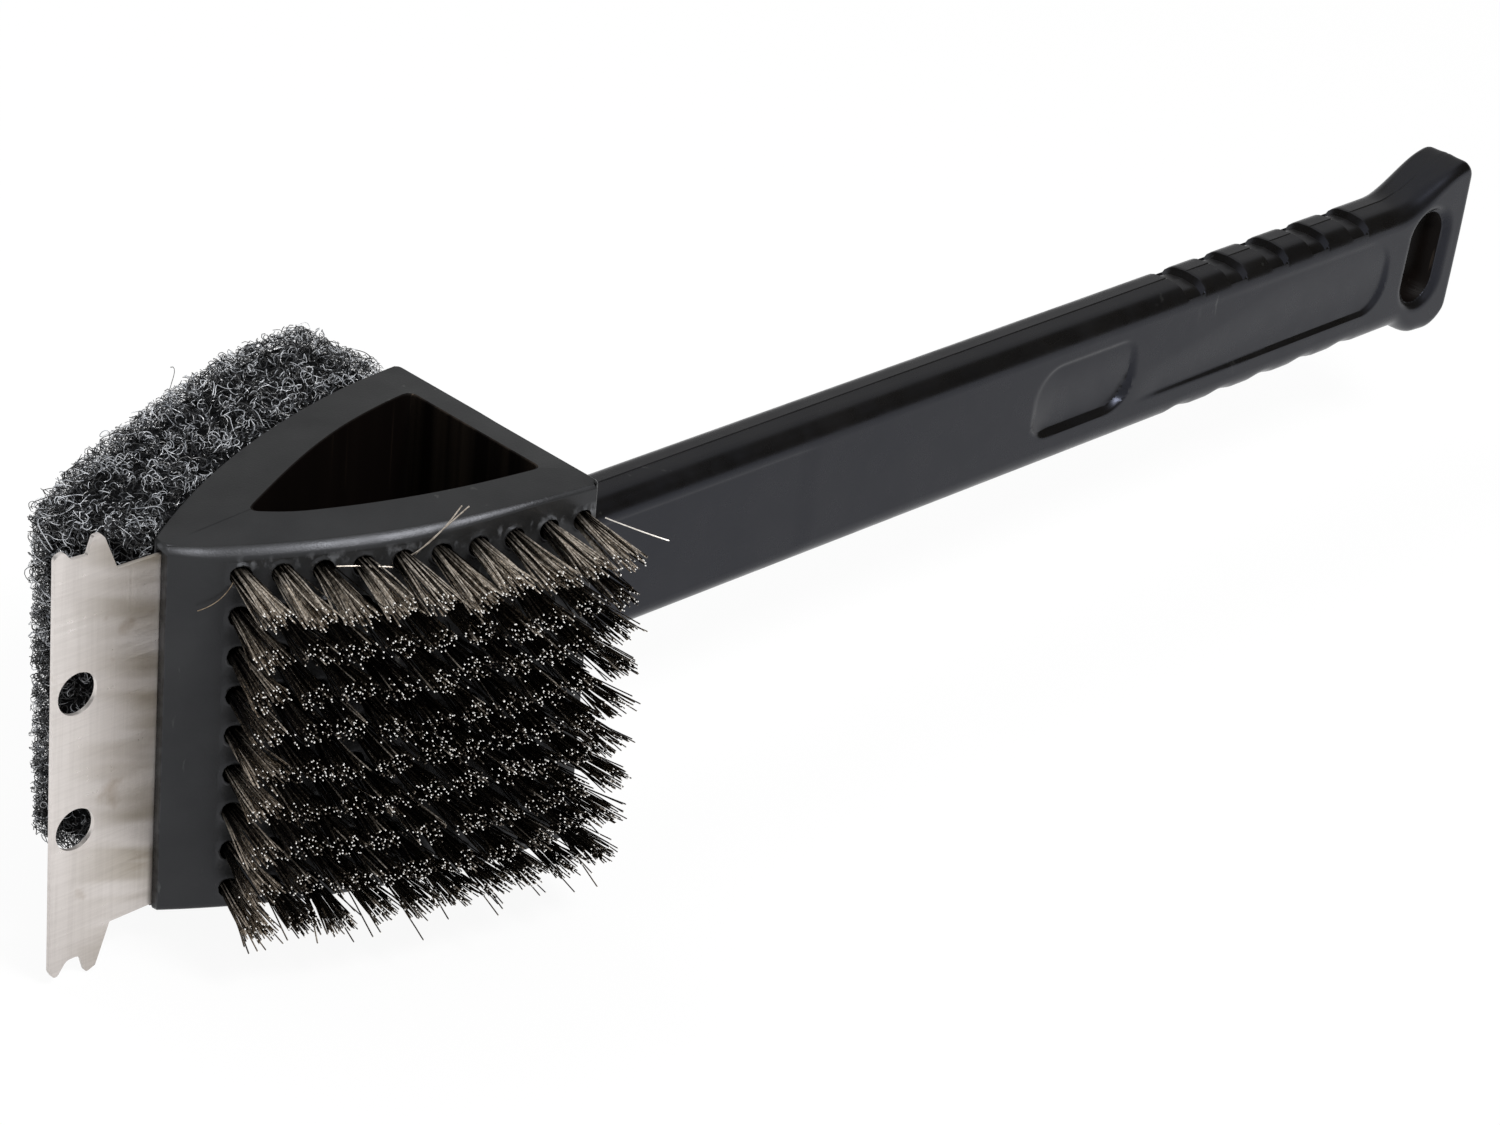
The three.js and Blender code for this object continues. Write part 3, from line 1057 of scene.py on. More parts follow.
    def hollow(self, grow: float) -> list[Vector]:
        """The hollow's outline from above.

        Args:
            grow: how far it is widened.

        Returns:
            Points from the nose along the wires' side, the rear wall and the pad's side.
        """
        start = next(
            spot
            for spot in self.hollow_spots()
            if self.wall_point(spot, 1, grow).y - self.wall_point(spot, -1, grow).y > self.hollow_nose
        )
        near_bend, far_bend = self.hollow_corners
        near = self.hollow_side(-1, near_bend, start, grow)
        far = self.hollow_side(1, far_bend, start, grow)
        low, high = near[0], far[0]
        nose = 0.5 * (low + high) + Vector((-0.95, 0.0, 0.0))
        first = low.lerp(nose, 0.55) + Vector((-0.16, -0.16, 0.0))
        last = high.lerp(nose, 0.55) + Vector((-0.16, 0.16, 0.0))
        rear = Vector((self.arc.length - self.rear_wall + grow, 0.0, 0.0))
        return [nose, first, *near, rear, *reversed(far), last]

    def build(self, skin: Material, inside: Material) -> Piece:
        """Models the head.

        Args:
            skin: the outer plastic.
            inside: the finish of the hollow and the drilled holes.

        Returns:
            The head's object.
        """
        shell = bmesh.new()
        rings = loft(shell, self.outer_stations())
        drilled = self.drill(shell, rings)
        walls = self.core(shell, rings)
        bmesh.ops.recalc_face_normals(shell, faces=shell.faces)
        # The holes and the hollow take the inner finish, whose near black is painted shade.
        for face in [*drilled, *walls]:
            if face.is_valid:
                face.material_index = 1
        piece = settle(shell, "head", [skin, inside], 36.0)
        carve(piece, self.slot_cutter())
        piece.modifiers.new("even_faces", "WEIGHTED_NORMAL").keep_sharp = True
        return piece

    def drill(self, shell: Shell, rings: Sequence[Ring]) -> Faces:
        """Opens a hole with a raised, slightly ragged rim in each cell of the drilled face.

        Args:
            shell: the head's mesh.
            rings: its loops of vertices, from the bottom up.

        Returns:
            The faces inside the holes.
        """
        steps, lowest = self.cell_steps, len(self.foot_profile)
        inside: Faces = []
        for row in range(self.grid.rows):
            for column in range(self.grid.columns):
                low, left = lowest + row * steps, self.lead_steps + column * steps
                block = {rings[low + i][left + j] for i in range(steps + 1) for j in range(steps + 1)}
                touching = {face for vert in block for face in vert.link_faces}
                faces = [face for face in touching if all(vert in block for vert in face.verts)]
                cell = bmesh.ops.dissolve_faces(shell, faces=faces, use_verts=False)["region"][0]
                inside.extend(self.hole(shell, cell, row, column))
        return inside

    def hole(self, shell: Shell, cell: bmesh.types.BMFace, row: int, column: int) -> Faces:
        """Shapes one hole in its cell.

        Args:
            shell: the head's mesh.
            cell: the cell's one face.
            row: the tuft's row.
            column: the tuft's column.

        Returns:
            The faces inside the hole.
        """
        along, height = self.grid.along(column), self.grid.height(row, column)
        direction = self.grid.direction(column, self.grid.top_row)
        tangent = Vector((-direction.y, direction.x, 0.0))
        ragged = self.rng.uniform(0.7, 1.5)
        turn = self.rng.uniform(0.0, 2.0 * math.pi)
        inside: Faces = []
        for index, (share, lift, sink) in enumerate(self.hole_profile):
            step = bmesh.ops.inset_individual(shell, faces=[cell], thickness=0.05, use_even_offset=True)
            if index >= self.hole_burr_steps:
                inside.extend(step["faces"])
            radius = self.hole_radius * share
            for vert in cell.verts:
                flat = vert.co - self.arc.point(along, -1, height)
                angle = math.atan2(flat.z, flat.dot(tangent))
                rim = self.arc.point(along + radius * math.cos(angle), -1, height + radius * math.sin(angle))
                wave = 1.0 + 0.45 * ragged * math.sin(2.0 * angle + turn)
                vert.co = rim + self.arc.normal(along, -1) * lift * wave - direction * sink
        inside.append(cell)
        return inside

    def core(self, shell: Shell, rings: Sequence[Ring]) -> Faces:
        """Opens the hollow through the head and closes both ends round it.

        Args:
            shell: the head's mesh.
            rings: its loops of vertices, from the bottom up.

        Returns:
            The faces of the hollow's wall.
        """
        profile = [(self.top - down, grow) for down, grow in self.mouth_profile]
        profile += [(height, 0.0) for height in np.linspace(0.8 * self.top, 0.8 * self.bottom, 9)]
        profile += [(self.bottom + up, grow) for up, grow in reversed(self.mouth_profile)]
        before = set(shell.faces)
        stations = [
            [Vector((spot.x, spot.y, height + self.dip(spot.x))) for spot in self.hollow(grow)]
            for height, grow in profile
        ]
        inner = loft(shell, stations)
        walls = [face for face in shell.faces if face not in before]
        for outer, hole in ((rings[-1], inner[0]), (rings[0], inner[-1])):
            self.close_round(shell, outer, hole)
        return walls

    def close_round(self, shell: Shell, outer: Ring, hole: Ring) -> None:
        """Closes the flat between the outline and the hollow, with a fold from the nose to the apex.

        Args:
            shell: the head's mesh.
            outer: the outline's vertices, from the apex on.
            hole: the hollow's vertices, from its nose on.
        """
        rear = next(i for i, vert in enumerate(outer) if i and abs(vert.co.y) < 1e-4)
        back = max(range(len(hole)), key=lambda i: (round(hole[i].co.x, 3), -abs(hole[i].co.y)))
        fold = shell.edges.new((outer[0], hole[0]))
        tail = shell.edges.new((outer[rear], hole[back]))
        loop, ring = ring_edges(outer), ring_edges(hole)
        for part in ([*loop[:rear], *ring[:back]], [*loop[rear:], *ring[back:]]):
            bmesh.ops.triangle_fill(shell, use_beauty=True, edges=[*part, fold, tail])

    def slot_cutter(self) -> Piece:
        """The block that cuts the scraper's slot, open at the lower end and at the apex."""
        block = bmesh.new()
        bmesh.ops.create_cube(block, size=1.0)
        low, high = self.bottom - self.slot_overrun, self.slot_top
        size = Vector((self.slot_depth + self.slot_overrun, self.slot_width, high - low))
        bmesh.ops.scale(block, verts=block.verts, vec=size)
        middle = Vector((0.5 * (self.slot_depth - self.slot_overrun), 0.0, 0.5 * (low + high)))
        bmesh.ops.translate(block, verts=block.verts, vec=middle)
        return settle(block, "slot_cutter", [])


# The scraper


@dataclass
class ScraperPlate:
    """The notched steel plate in the head's apex. Its corners hold X, Z and a radius."""

    thickness: float = 0.9
    edge: float = 0.1
    hole_radius: float = 4.15
    hole_x: float = -16.6
    hole_heights: tuple[float, float] = (12.2, -15.4)
    hole_steps: int = 40
    corners: tuple[Point, ...] = (
        (14.0, 34.0, 0.0),
        (-8.56, 34.4, 0.25),
        (-11.4, 41.3, 0.5),
        (-12.3, 42.3, 0.5),
        (-13.8, 42.3, 0.6),
        (-15.0, 38.9, 0.5),
        (-18.4, 39.1, 1.0),
        (-20.0, 41.1, 0.9),
        (-21.9, 40.4, 1.0),
        (-21.7, -43.6, 1.2),
        (-20.4, -45.8, 0.8),
        (-18.0, -42.5, 1.6),
        (-15.0, -42.4, 1.6),
        (-13.7, -46.7, 0.6),
        (-11.6, -45.9, 0.6),
        (-8.6, -37.8, 0.3),
        (14.0, -37.3, 0.0),
    )

    def hole_loop(self, height: float) -> list[tuple[float, float]]:
        """The outline of one round hole.

        Args:
            height: its middle's height.

        Returns:
            X and Z of its points.
        """
        turns = np.linspace(0.0, 2.0 * math.pi, self.hole_steps, endpoint=False)
        return [
            (self.hole_x + self.hole_radius * math.cos(turn), height + self.hole_radius * math.sin(turn))
            for turn in turns
        ]

    @staticmethod
    def on_rim(edge: bmesh.types.BMEdge) -> bool:
        """Whether an edge runs round one of the plate's flat sides.

        Args:
            edge: the edge.

        Returns:
            True where it does.
        """
        first, second = edge.verts
        level = abs(first.co.y - second.co.y) < 1e-6
        return level and len(edge.link_faces) == 2 and edge.calc_face_angle() > 1.0

    def build(self, finish: Material) -> Piece:
        """Models the plate with eased edges.

        Args:
            finish: its steel.

        Returns:
            The plate's object.
        """
        shell = bmesh.new()
        edges = []
        for loop in (fillet(self.corners), *map(self.hole_loop, self.hole_heights)):
            edges.extend(draw_loop(shell, [Vector((x, -0.5 * self.thickness, z)) for x, z in loop])[1])
        filled = bmesh.ops.triangle_fill(shell, use_beauty=True, edges=edges)["geom"]
        faces = [item for item in filled if isinstance(item, bmesh.types.BMFace)]
        grown = bmesh.ops.extrude_face_region(shell, geom=faces, use_keep_orig=True)["geom"]
        lifted = [item for item in grown if isinstance(item, bmesh.types.BMVert)]
        bmesh.ops.translate(shell, verts=lifted, vec=Vector((0.0, self.thickness, 0.0)))
        bmesh.ops.recalc_face_normals(shell, faces=shell.faces)
        bmesh.ops.bevel(
            shell,
            geom=[edge for edge in shell.edges if self.on_rim(edge)],
            offset=self.edge,
            segments=2,
            profile=0.5,
            affect="EDGES",
            material=-1,
            clamp_overlap=True,
        )
        plate = settle(shell, "scraper", [finish], 24.0)
        for face in plate.data.polygons:
            face.use_smooth = abs(face.normal.y) < 0.98
        return plate


# The wires


class WireTone(IntEnum):
    """The places of the wires' finishes in their slots: darker, plain and lighter copies of one steel as painted
    shade and light, and cut ends.
    """

    DULL = 0
    PLAIN = 1
    LIT = 2
    SHADED_END = 3
    GLINT_END = 4


@dataclass(frozen=True)
class TuftAxes:
    """A tuft's foot on the drilled face and its own directions: outwards, across and up."""

    foot: np.ndarray
    aim: np.ndarray
    across: np.ndarray
    up: np.ndarray

    def spot(self, depth: float, shift: np.ndarray) -> np.ndarray:
        """A point at a distance out from the foot, shifted across and up."""
        return self.foot + self.aim * depth + self.across * shift[0] + self.up * shift[1]


@dataclass(frozen=True)
class StrayWire:
    """A wire that stands away from its tuft: its finish, and the three points that bend it."""

    finish: int
    start: Point
    bend: Point
    end: Point

    def path(self) -> np.ndarray:
        """Bends the wire.

        Returns:
            Points along it.
        """
        steps = np.linspace(0.0, 1.0, 13)[:, None]
        start, bend, end = map(np.array, (self.start, self.bend, self.end))
        return (1.0 - steps) ** 2 * start + 2.0 * steps * (1.0 - steps) * bend + steps**2 * end


@dataclass
class WireField:
    """Ninety fanned tufts of fine wire, and a few stray wires."""

    arc: SideArc
    grid: TuftGrid
    wires: int = 54
    lowest_extra: int = 12
    length: float = 17.0
    root: float = 2.6
    root_spread: float = 1.45
    tip_spread: float = 4.1
    flatness: float = 0.6
    lowest_flatness: float = 0.64
    radius: float = 0.15
    golden_turn: float = 2.39996
    loose_share: float = 0.12
    loose_fan: float = 1.25
    loose_reach: float = 0.8
    hang: tuple[float, float] = (0.4, 3.6)
    cut_length: float = 0.2
    shaded_end_share: float = 0.45
    # Painted light and shade: lit wires go mostly to the top row and the first column, shaded ones to the rest.
    lit_top_tones: Point = (0.12, 0.33, 0.55)
    lit_front_tones: Point = (0.3, 0.42, 0.28)
    shaded_tones: Point = (0.62, 0.34, 0.04)
    # Painted light and shade: darker and lighter copies of one steel.
    finishes: tuple[DrawnWire, ...] = (
        DrawnWire("wire_shaded", (0.035, 0.029, 0.024), (0.13, 0.11, 0.09)),
        DrawnWire("wire_plain", (0.14, 0.115, 0.09), (0.55, 0.48, 0.39), shade_depth=10.0),
        DrawnWire("wire_lit", (0.42, 0.365, 0.3), (0.98, 0.89, 0.78), 0.36, 0.25, 0.7, 6.0),
        # Cut ends: dark ones, and near white ones that are painted glints.
        DrawnWire("wire_end_shaded", (0.06, 0.052, 0.045), (0.25, 0.22, 0.19), 0.4, 1.0),
        DrawnWire("wire_end_glint", (0.9, 0.88, 0.84), (0.98, 0.97, 0.95), 0.3, 1.0, 0.25),
    )
    stray_finishes: tuple[DrawnWire, ...] = (
        DrawnWire("stray_pale", (0.62, 0.58, 0.53), (0.75, 0.71, 0.66), 0.4, 1.0, 0.35),
        DrawnWire("stray_brassy", (0.2, 0.15, 0.1), (0.34, 0.27, 0.19), 0.42, 1.0),
        DrawnWire("stray_tan", (0.36, 0.31, 0.26), (0.7, 0.63, 0.55), 0.42, 1.0, 0.4),
    )
    stray_thickness: Point = (0.95, 0.6, 0.8)
    strays: tuple[StrayWire, ...] = (
        StrayWire(0, (79.6, -28.4, 29.6), (82.4, -35.6, 28.9), (85.9, -38.8, 27.6)),
        StrayWire(2, (39.6, -21.0, 31.0), (42.5, -24.5, 34.5), (46.2, -26.4, 41.4)),
        StrayWire(2, (40.2, -21.2, 30.8), (42.0, -23.9, 35.0), (47.4, -27.0, 41.2)),
        StrayWire(2, (26.6, -16.6, 31.0), (30.8, -19.5, 31.2), (35.4, -21.3, 30.2)),
        StrayWire(1, (10.9, -8.2, 29.8), (8.8, -8.2, 25.6), (4.8, -5.7, 24.1)),
    )
    rng: np.random.Generator = field(default_factory=lambda: np.random.default_rng(29))

    def tones(self, row: int, column: int) -> Point:
        """Shares of shaded, plain and lit wires in a tuft: more lit ones in the top row and the first column, as
        painted light, and mostly shaded ones elsewhere, as painted shade.

        Args:
            row: the tuft's row.
            column: the tuft's column.

        Returns:
            The three shares, which add up to 1.
        """
        if row == self.grid.top_row:
            return self.lit_top_tones
        return self.lit_front_tones if column == 0 else self.shaded_tones

    def axes(self, row: int, column: int) -> TuftAxes:
        """Stands a tuft on the drilled face, aimed a little at random.

        Args:
            row: the tuft's row.
            column: the tuft's column.

        Returns:
            Its foot and directions.
        """
        foot = np.array(self.arc.point(self.grid.along(column), -1, self.grid.height(row, column)))
        aim = np.array(self.grid.direction(column, row)) + self.rng.normal(0.0, 0.03, 3)
        aim /= np.linalg.norm(aim)
        across = np.cross(aim, (0.0, 0.0, 1.0))
        across /= np.linalg.norm(across)
        return TuftAxes(foot, aim, across, np.cross(across, aim))

    def wire_path(
        self, axes: TuftAxes, share: float, turn: float, spread: np.ndarray, lowest: bool
    ) -> np.ndarray:
        """Bends one wire of a tuft.

        Args:
            axes: the tuft's foot and directions.
            share: how far out in the tuft the wire stands, from 0 to 1.
            turn: its place round the tuft, in radians.
            spread: how far the tuft fans across and up.
            lowest: whether the tuft is in the lowest row, where loose wires hang.

        Returns:
            Points from its root in the hole to its tip.
        """
        rng = self.rng
        turn += rng.normal(0.0, 0.25)
        start = share * self.root_spread * np.array((math.cos(turn), math.sin(turn)))
        turn += rng.normal(0.0, 0.3)
        loose = rng.random() < self.loose_share
        fan = share * self.tip_spread * rng.uniform(0.75, 1.1) * (self.loose_fan if loose else 1.0)
        end = fan * (spread * np.array((math.cos(turn), math.sin(turn))))
        if lowest and loose:
            end[1] -= rng.uniform(*self.hang)
        reach = self.length + rng.normal(0.0, 0.5) - 0.5 * share + (self.loose_reach if loose else 0.0)
        bow = rng.normal(0.0, 0.22, 2)
        wave, phase = rng.uniform(0.02, 0.09), rng.uniform(0.0, 6.28)
        spots = []
        for step in np.linspace(0.0, 1.0, 7):
            shift = start + (end - start) * step**1.15 + bow * math.sin(math.pi * step)
            shift = shift + wave * math.sin(9.0 * step + phase)
            spots.append(axes.spot(step * (reach + self.root) - self.root, shift))
        return np.array(spots)

    def cut_end(self, path: np.ndarray) -> Strand:
        """Caps a wire with its short cut end.

        Args:
            path: the wire's points.

        Returns:
            The end's strand, which goes on in the wire's last direction.
        """
        way = path[-1] - path[-2]
        way /= np.linalg.norm(way)
        ends = np.array((path[-1] + 0.005 * way, path[-1] + self.cut_length * way))
        radius = self.rng.uniform(0.7, 1.05) * self.radius
        # Painted glints: a little over half of the cut ends get the near white finish.
        unlit = self.rng.random() < self.shaded_end_share
        return Strand(ends, radius, WireTone.SHADED_END if unlit else WireTone.GLINT_END)

    def tuft(self, row: int, column: int) -> list[Strand]:
        """Models one tuft.

        Args:
            row: the tuft's row.
            column: the tuft's column.

        Returns:
            Its wires, each followed by its cut end.
        """
        axes, lowest = self.axes(row, column), row == 0
        spread = np.array((self.rng.uniform(0.85, 1.15), self.lowest_flatness if lowest else self.flatness))
        wires = self.wires + (self.lowest_extra if lowest else 0)
        strands: list[Strand] = []
        for index in range(wires):
            share = math.sqrt((index + 0.5) / wires)
            path = self.wire_path(axes, share, self.golden_turn * index, spread, lowest)
            tone = int(self.rng.choice(3, p=self.tones(row, column)))
            strands += [Strand(path, self.radius, tone), self.cut_end(path)]
        return strands

    def stray_piece(self) -> Piece:
        """Models the few wires that stand away from their tufts.

        Returns:
            Their object.
        """
        thickness = [share * self.radius for share in self.stray_thickness]
        strands = [Strand(wire.path(), thickness[wire.finish], wire.finish) for wire in self.strays]
        return spin_strands("stray_wires", strands, [finish.material() for finish in self.stray_finishes])

    def build(self) -> list[Piece]:
        """Models the wires.

        Returns:
            The tufts, one piece for each column, and the strays.
        """
        materials = [finish.material() for finish in self.finishes]
        pieces = []
        for column in range(self.grid.columns):
            strands = [strand for row in range(self.grid.rows) for strand in self.tuft(row, column)]
            pieces.append(spin_strands(f"tufts_column_{column + 1}", strands, materials))
        return [*pieces, self.stray_piece()]


# The pad


@dataclass
class ScouringPad:
    """A thick pad of curled nylon fibre on the head's other face.

    It is worked out unrolled, as a flat block whose axes are its length along the face, its
    thickness and its height, and then rolled round the face.
    """

    arc: SideArc
    thickness: float = 22.6
    swell: float = 2.3
    taper: float = 1.5
    lift: float = 6.8
    first: float = 0.6
    last: float = 82.0
    low: float = -33.6
    high: float = 37.7
    seat: float = 0.3
    ends: float = 4.0
    core_inset: float = 1.9
    core_corner: float = 3.2
    fibre_radius: float = 0.074
    fibres: int = 16800
    layers: int = 8
    deepest: float = 3.6
    steps: int = 10
    stride: float = 0.62
    curl: tuple[float, float] = (0.5, 1.8)
    # Three copies of one black nylon: darkened further as painted shade, plain grey, and pale as painted
    # highlights on the fibres.
    tone_shares: Point = (0.47, 0.29, 0.24)
    finishes: tuple[WebFibre, ...] = (
        WebFibre("fibre_black_shaded", (0.001, 0.001, 0.0011), (0.004, 0.0043, 0.0048)),
        WebFibre("fibre_grey", (0.016, 0.017, 0.019), (0.055, 0.058, 0.064)),
        WebFibre("fibre_highlit", (0.26, 0.275, 0.3), (0.66, 0.68, 0.71)),
    )
    rng: np.random.Generator = field(default_factory=lambda: np.random.default_rng(47))

    def half_size(self) -> np.ndarray:
        """Half of the pad's length, thickness and height, unrolled."""
        return 0.5 * np.array((self.last - self.first, self.thickness, self.high - self.low))

    def distance(self, spots: np.ndarray) -> np.ndarray:
        """Signed distance from the unrolled pad's rounded outer shape, inside negative.

        Args:
            spots: points of the unrolled pad.

        Returns:
            A distance for each point.
        """
        past = np.abs(spots) - (self.half_size() - self.ends)
        outside = np.linalg.norm(np.maximum(past, 0.0), axis=-1)
        return outside + np.minimum(past.max(axis=-1), 0.0) - self.ends

    def rolled(self, spots: np.ndarray) -> np.ndarray:
        """Wraps unrolled points round the head's curved face.

        Args:
            spots: points of the unrolled pad.

        Returns:
            Their places on the brush. The pad swells to the rear, thins downwards, and its lower
            outer edge is lifted.
        """
        half = self.half_size()
        along = spots[..., 0] + half[0] + self.first
        height = spots[..., 2] + 0.5 * (self.low + self.high)
        share = np.clip((along - 40.0) / 28.0, 0.0, 1.0)
        swell = self.swell * share**2 * (3.0 - 2.0 * share)
        taper = self.taper * (self.high - height) / (self.high - self.low)
        depth = (spots[..., 1] + half[1]) / self.thickness
        lowness = np.clip(1.0 - (height - self.low) / 24.0, 0.0, 1.0)
        height = height + self.lift * lowness**2 * np.clip((depth - 0.2) / 0.8, 0.0, 1.0) ** 2
        out = self.seat + depth * (self.thickness + swell - taper)
        angle = self.arc.start + along / self.arc.radius
        x, y = self.arc.centre
        ring = self.arc.radius + out
        return np.stack((x + ring * np.sin(angle), y + ring * np.cos(angle), height), axis=-1)

    def roots(self, count: int) -> np.ndarray:
        """Places where fibres start, just under every side of the unrolled pad but the bonded one.

        Args:
            count: number of fibres.

        Returns:
            A point for each fibre.
        """
        rng, half = self.rng, self.half_size()
        ends, broad, flat = half[1] * half[2], half[0] * half[2], half[0] * half[1]
        shares = np.array((ends, ends, 0.0, broad, flat, flat))
        faces = rng.choice(6, size=count, p=shares / shares.sum())
        spots = rng.uniform(-1.0, 1.0, (count, 3)) * half
        depth = self.deepest * rng.uniform(0.0, 1.0, count) ** 1.3
        for face in range(6):
            axis, sign = face // 2, 1 if face % 2 else -1
            chosen = faces == face
            spots[chosen, axis] = sign * (half[axis] - depth[chosen])
        return spots

    def curls(self, count: int) -> np.ndarray:
        """Curled fibre paths near the unrolled pad's surface.

        Args:
            count: number of fibres.

        Returns:
            Points of each fibre, rolled round the face.
        """
        rng, half = self.rng, self.half_size()
        path = [self.roots(count)]
        way = rng.normal(size=(count, 3))
        way /= np.linalg.norm(way, axis=1, keepdims=True)
        axis_way = rng.normal(size=(count, 3))
        bend = rng.uniform(*self.curl, count)
        for _ in range(self.steps):
            axis_way += rng.normal(0.0, 1.0, (count, 3))
            way = way + unit_rows(np.cross(way, axis_way)) * (bend * self.stride)[:, None]
            here = path[-1]
            depth = self.distance(here)
            pull = np.clip((depth + 0.2) / 1.2, 0.0, 1.0) * 0.9
            sink = np.clip((-depth - self.deepest) / 2.0, 0.0, 1.0) * 0.5
            way = way + unit_rows(-here / half**2) * (pull - sink)[:, None]
            way /= np.linalg.norm(way, axis=1, keepdims=True)
            path.append(here + way * self.stride)
        paths = np.stack(path, axis=1)
        paths[..., 1] = np.maximum(paths[..., 1], 0.15 - half[1])
        return self.rolled(paths)

    def core(self, finish: Material) -> Piece:
        """Models the dark heart of the pad, painted shade for its depth, with round corners and a lumpy surface.

        Args:
            finish: its finish.

        Returns:
            The core's object.
        """
        shell = bmesh.new()
        bmesh.ops.create_cube(shell, size=2.0)
        bmesh.ops.subdivide_edges(shell, edges=shell.edges, cuts=26, use_grid_fill=True)
        half, bend = self.half_size(), self.core_corner
        size = half - self.core_inset
        for vert in shell.verts:
            bonded = vert.co.y < -0.999
            flat = np.array(vert.co) * size
            inner = np.clip(flat, bend - size, size - bend)
            way = flat - inner
            length = np.linalg.norm(way)
            spot = inner + way * (bend / length) if length > bend else flat
            spot = spot + self.rng.normal(0.0, 0.28, 3)
            if bonded:
                spot[1] = 0.05 - half[1]
            vert.co = Vector(self.rolled(spot))
        return settle(shell, "pad_core", [finish], 180.0)

    def build(self) -> list[Piece]:
        """Models the pad.

        Returns:
            Its core, and the layers of curled fibre.
        """
        materials = [finish.material() for finish in self.finishes]
        pieces = [self.core(WebCore().material())]
        for layer in range(self.layers):
            paths = self.curls(self.fibres // self.layers)
            tones = self.rng.choice(3, size=len(paths), p=self.tone_shares)
            strands = [
                Strand(path, self.fibre_radius * self.rng.uniform(0.75, 1.25), int(tone))
                for path, tone in zip(paths, tones)
            ]
            pieces.append(spin_strands(f"pad_fibres_{layer + 1}", strands, materials))
        return pieces


def unit_rows(rows: np.ndarray) -> np.ndarray:
    """Vectors brought to length 1, one to a row."""
    return rows / (np.linalg.norm(rows, axis=1, keepdims=True) + 1e-9)


# The handle


def quarter(radius: float, gap: float) -> float:
    """How far a quarter round has pulled a side in, at a distance from the round's end."""
    past = max(radius - gap, 0.0)
    return radius - math.sqrt(max(radius**2 - past**2, 0.0))


def rounded_box(x: float, y: float, half_x: float, half_y: float, corner: float) -> float:
    """Signed distance from a rounded rectangle, negative inside."""
    dx, dy = abs(x) - half_x + corner, abs(y) - half_y + corner
    return math.hypot(max(dx, 0.0), max(dy, 0.0)) + min(max(dx, dy), 0.0) - corner


def inside_share(gap: float, margin: float, run: float) -> float:
    """1 well inside an outline, falling to 0 over a run that starts a margin inside it."""
    return 1.0 - smooth_share((gap + margin) / run)


@dataclass(frozen=True)
class SidePanel:
    """A rounded rectangle on the handle's side: its middle, half of its size and its corners."""

    x: float
    z: float
    half_x: float
    half_z: float
    corner: float

    def gap(self, x: float, z: float, rounder: float = 0.0) -> float:
        """Distance outside the outline, negative inside it, with rounder corners where asked."""
        return rounded_box(x - self.x, z - self.z, self.half_x, self.half_z, self.corner + rounder)


@dataclass(frozen=True)
class Section:
    """A cross-section of the handle: the top of its middle line, the way down it, and its size."""

    top: Vector
    way: Vector
    thick: float
    length: float


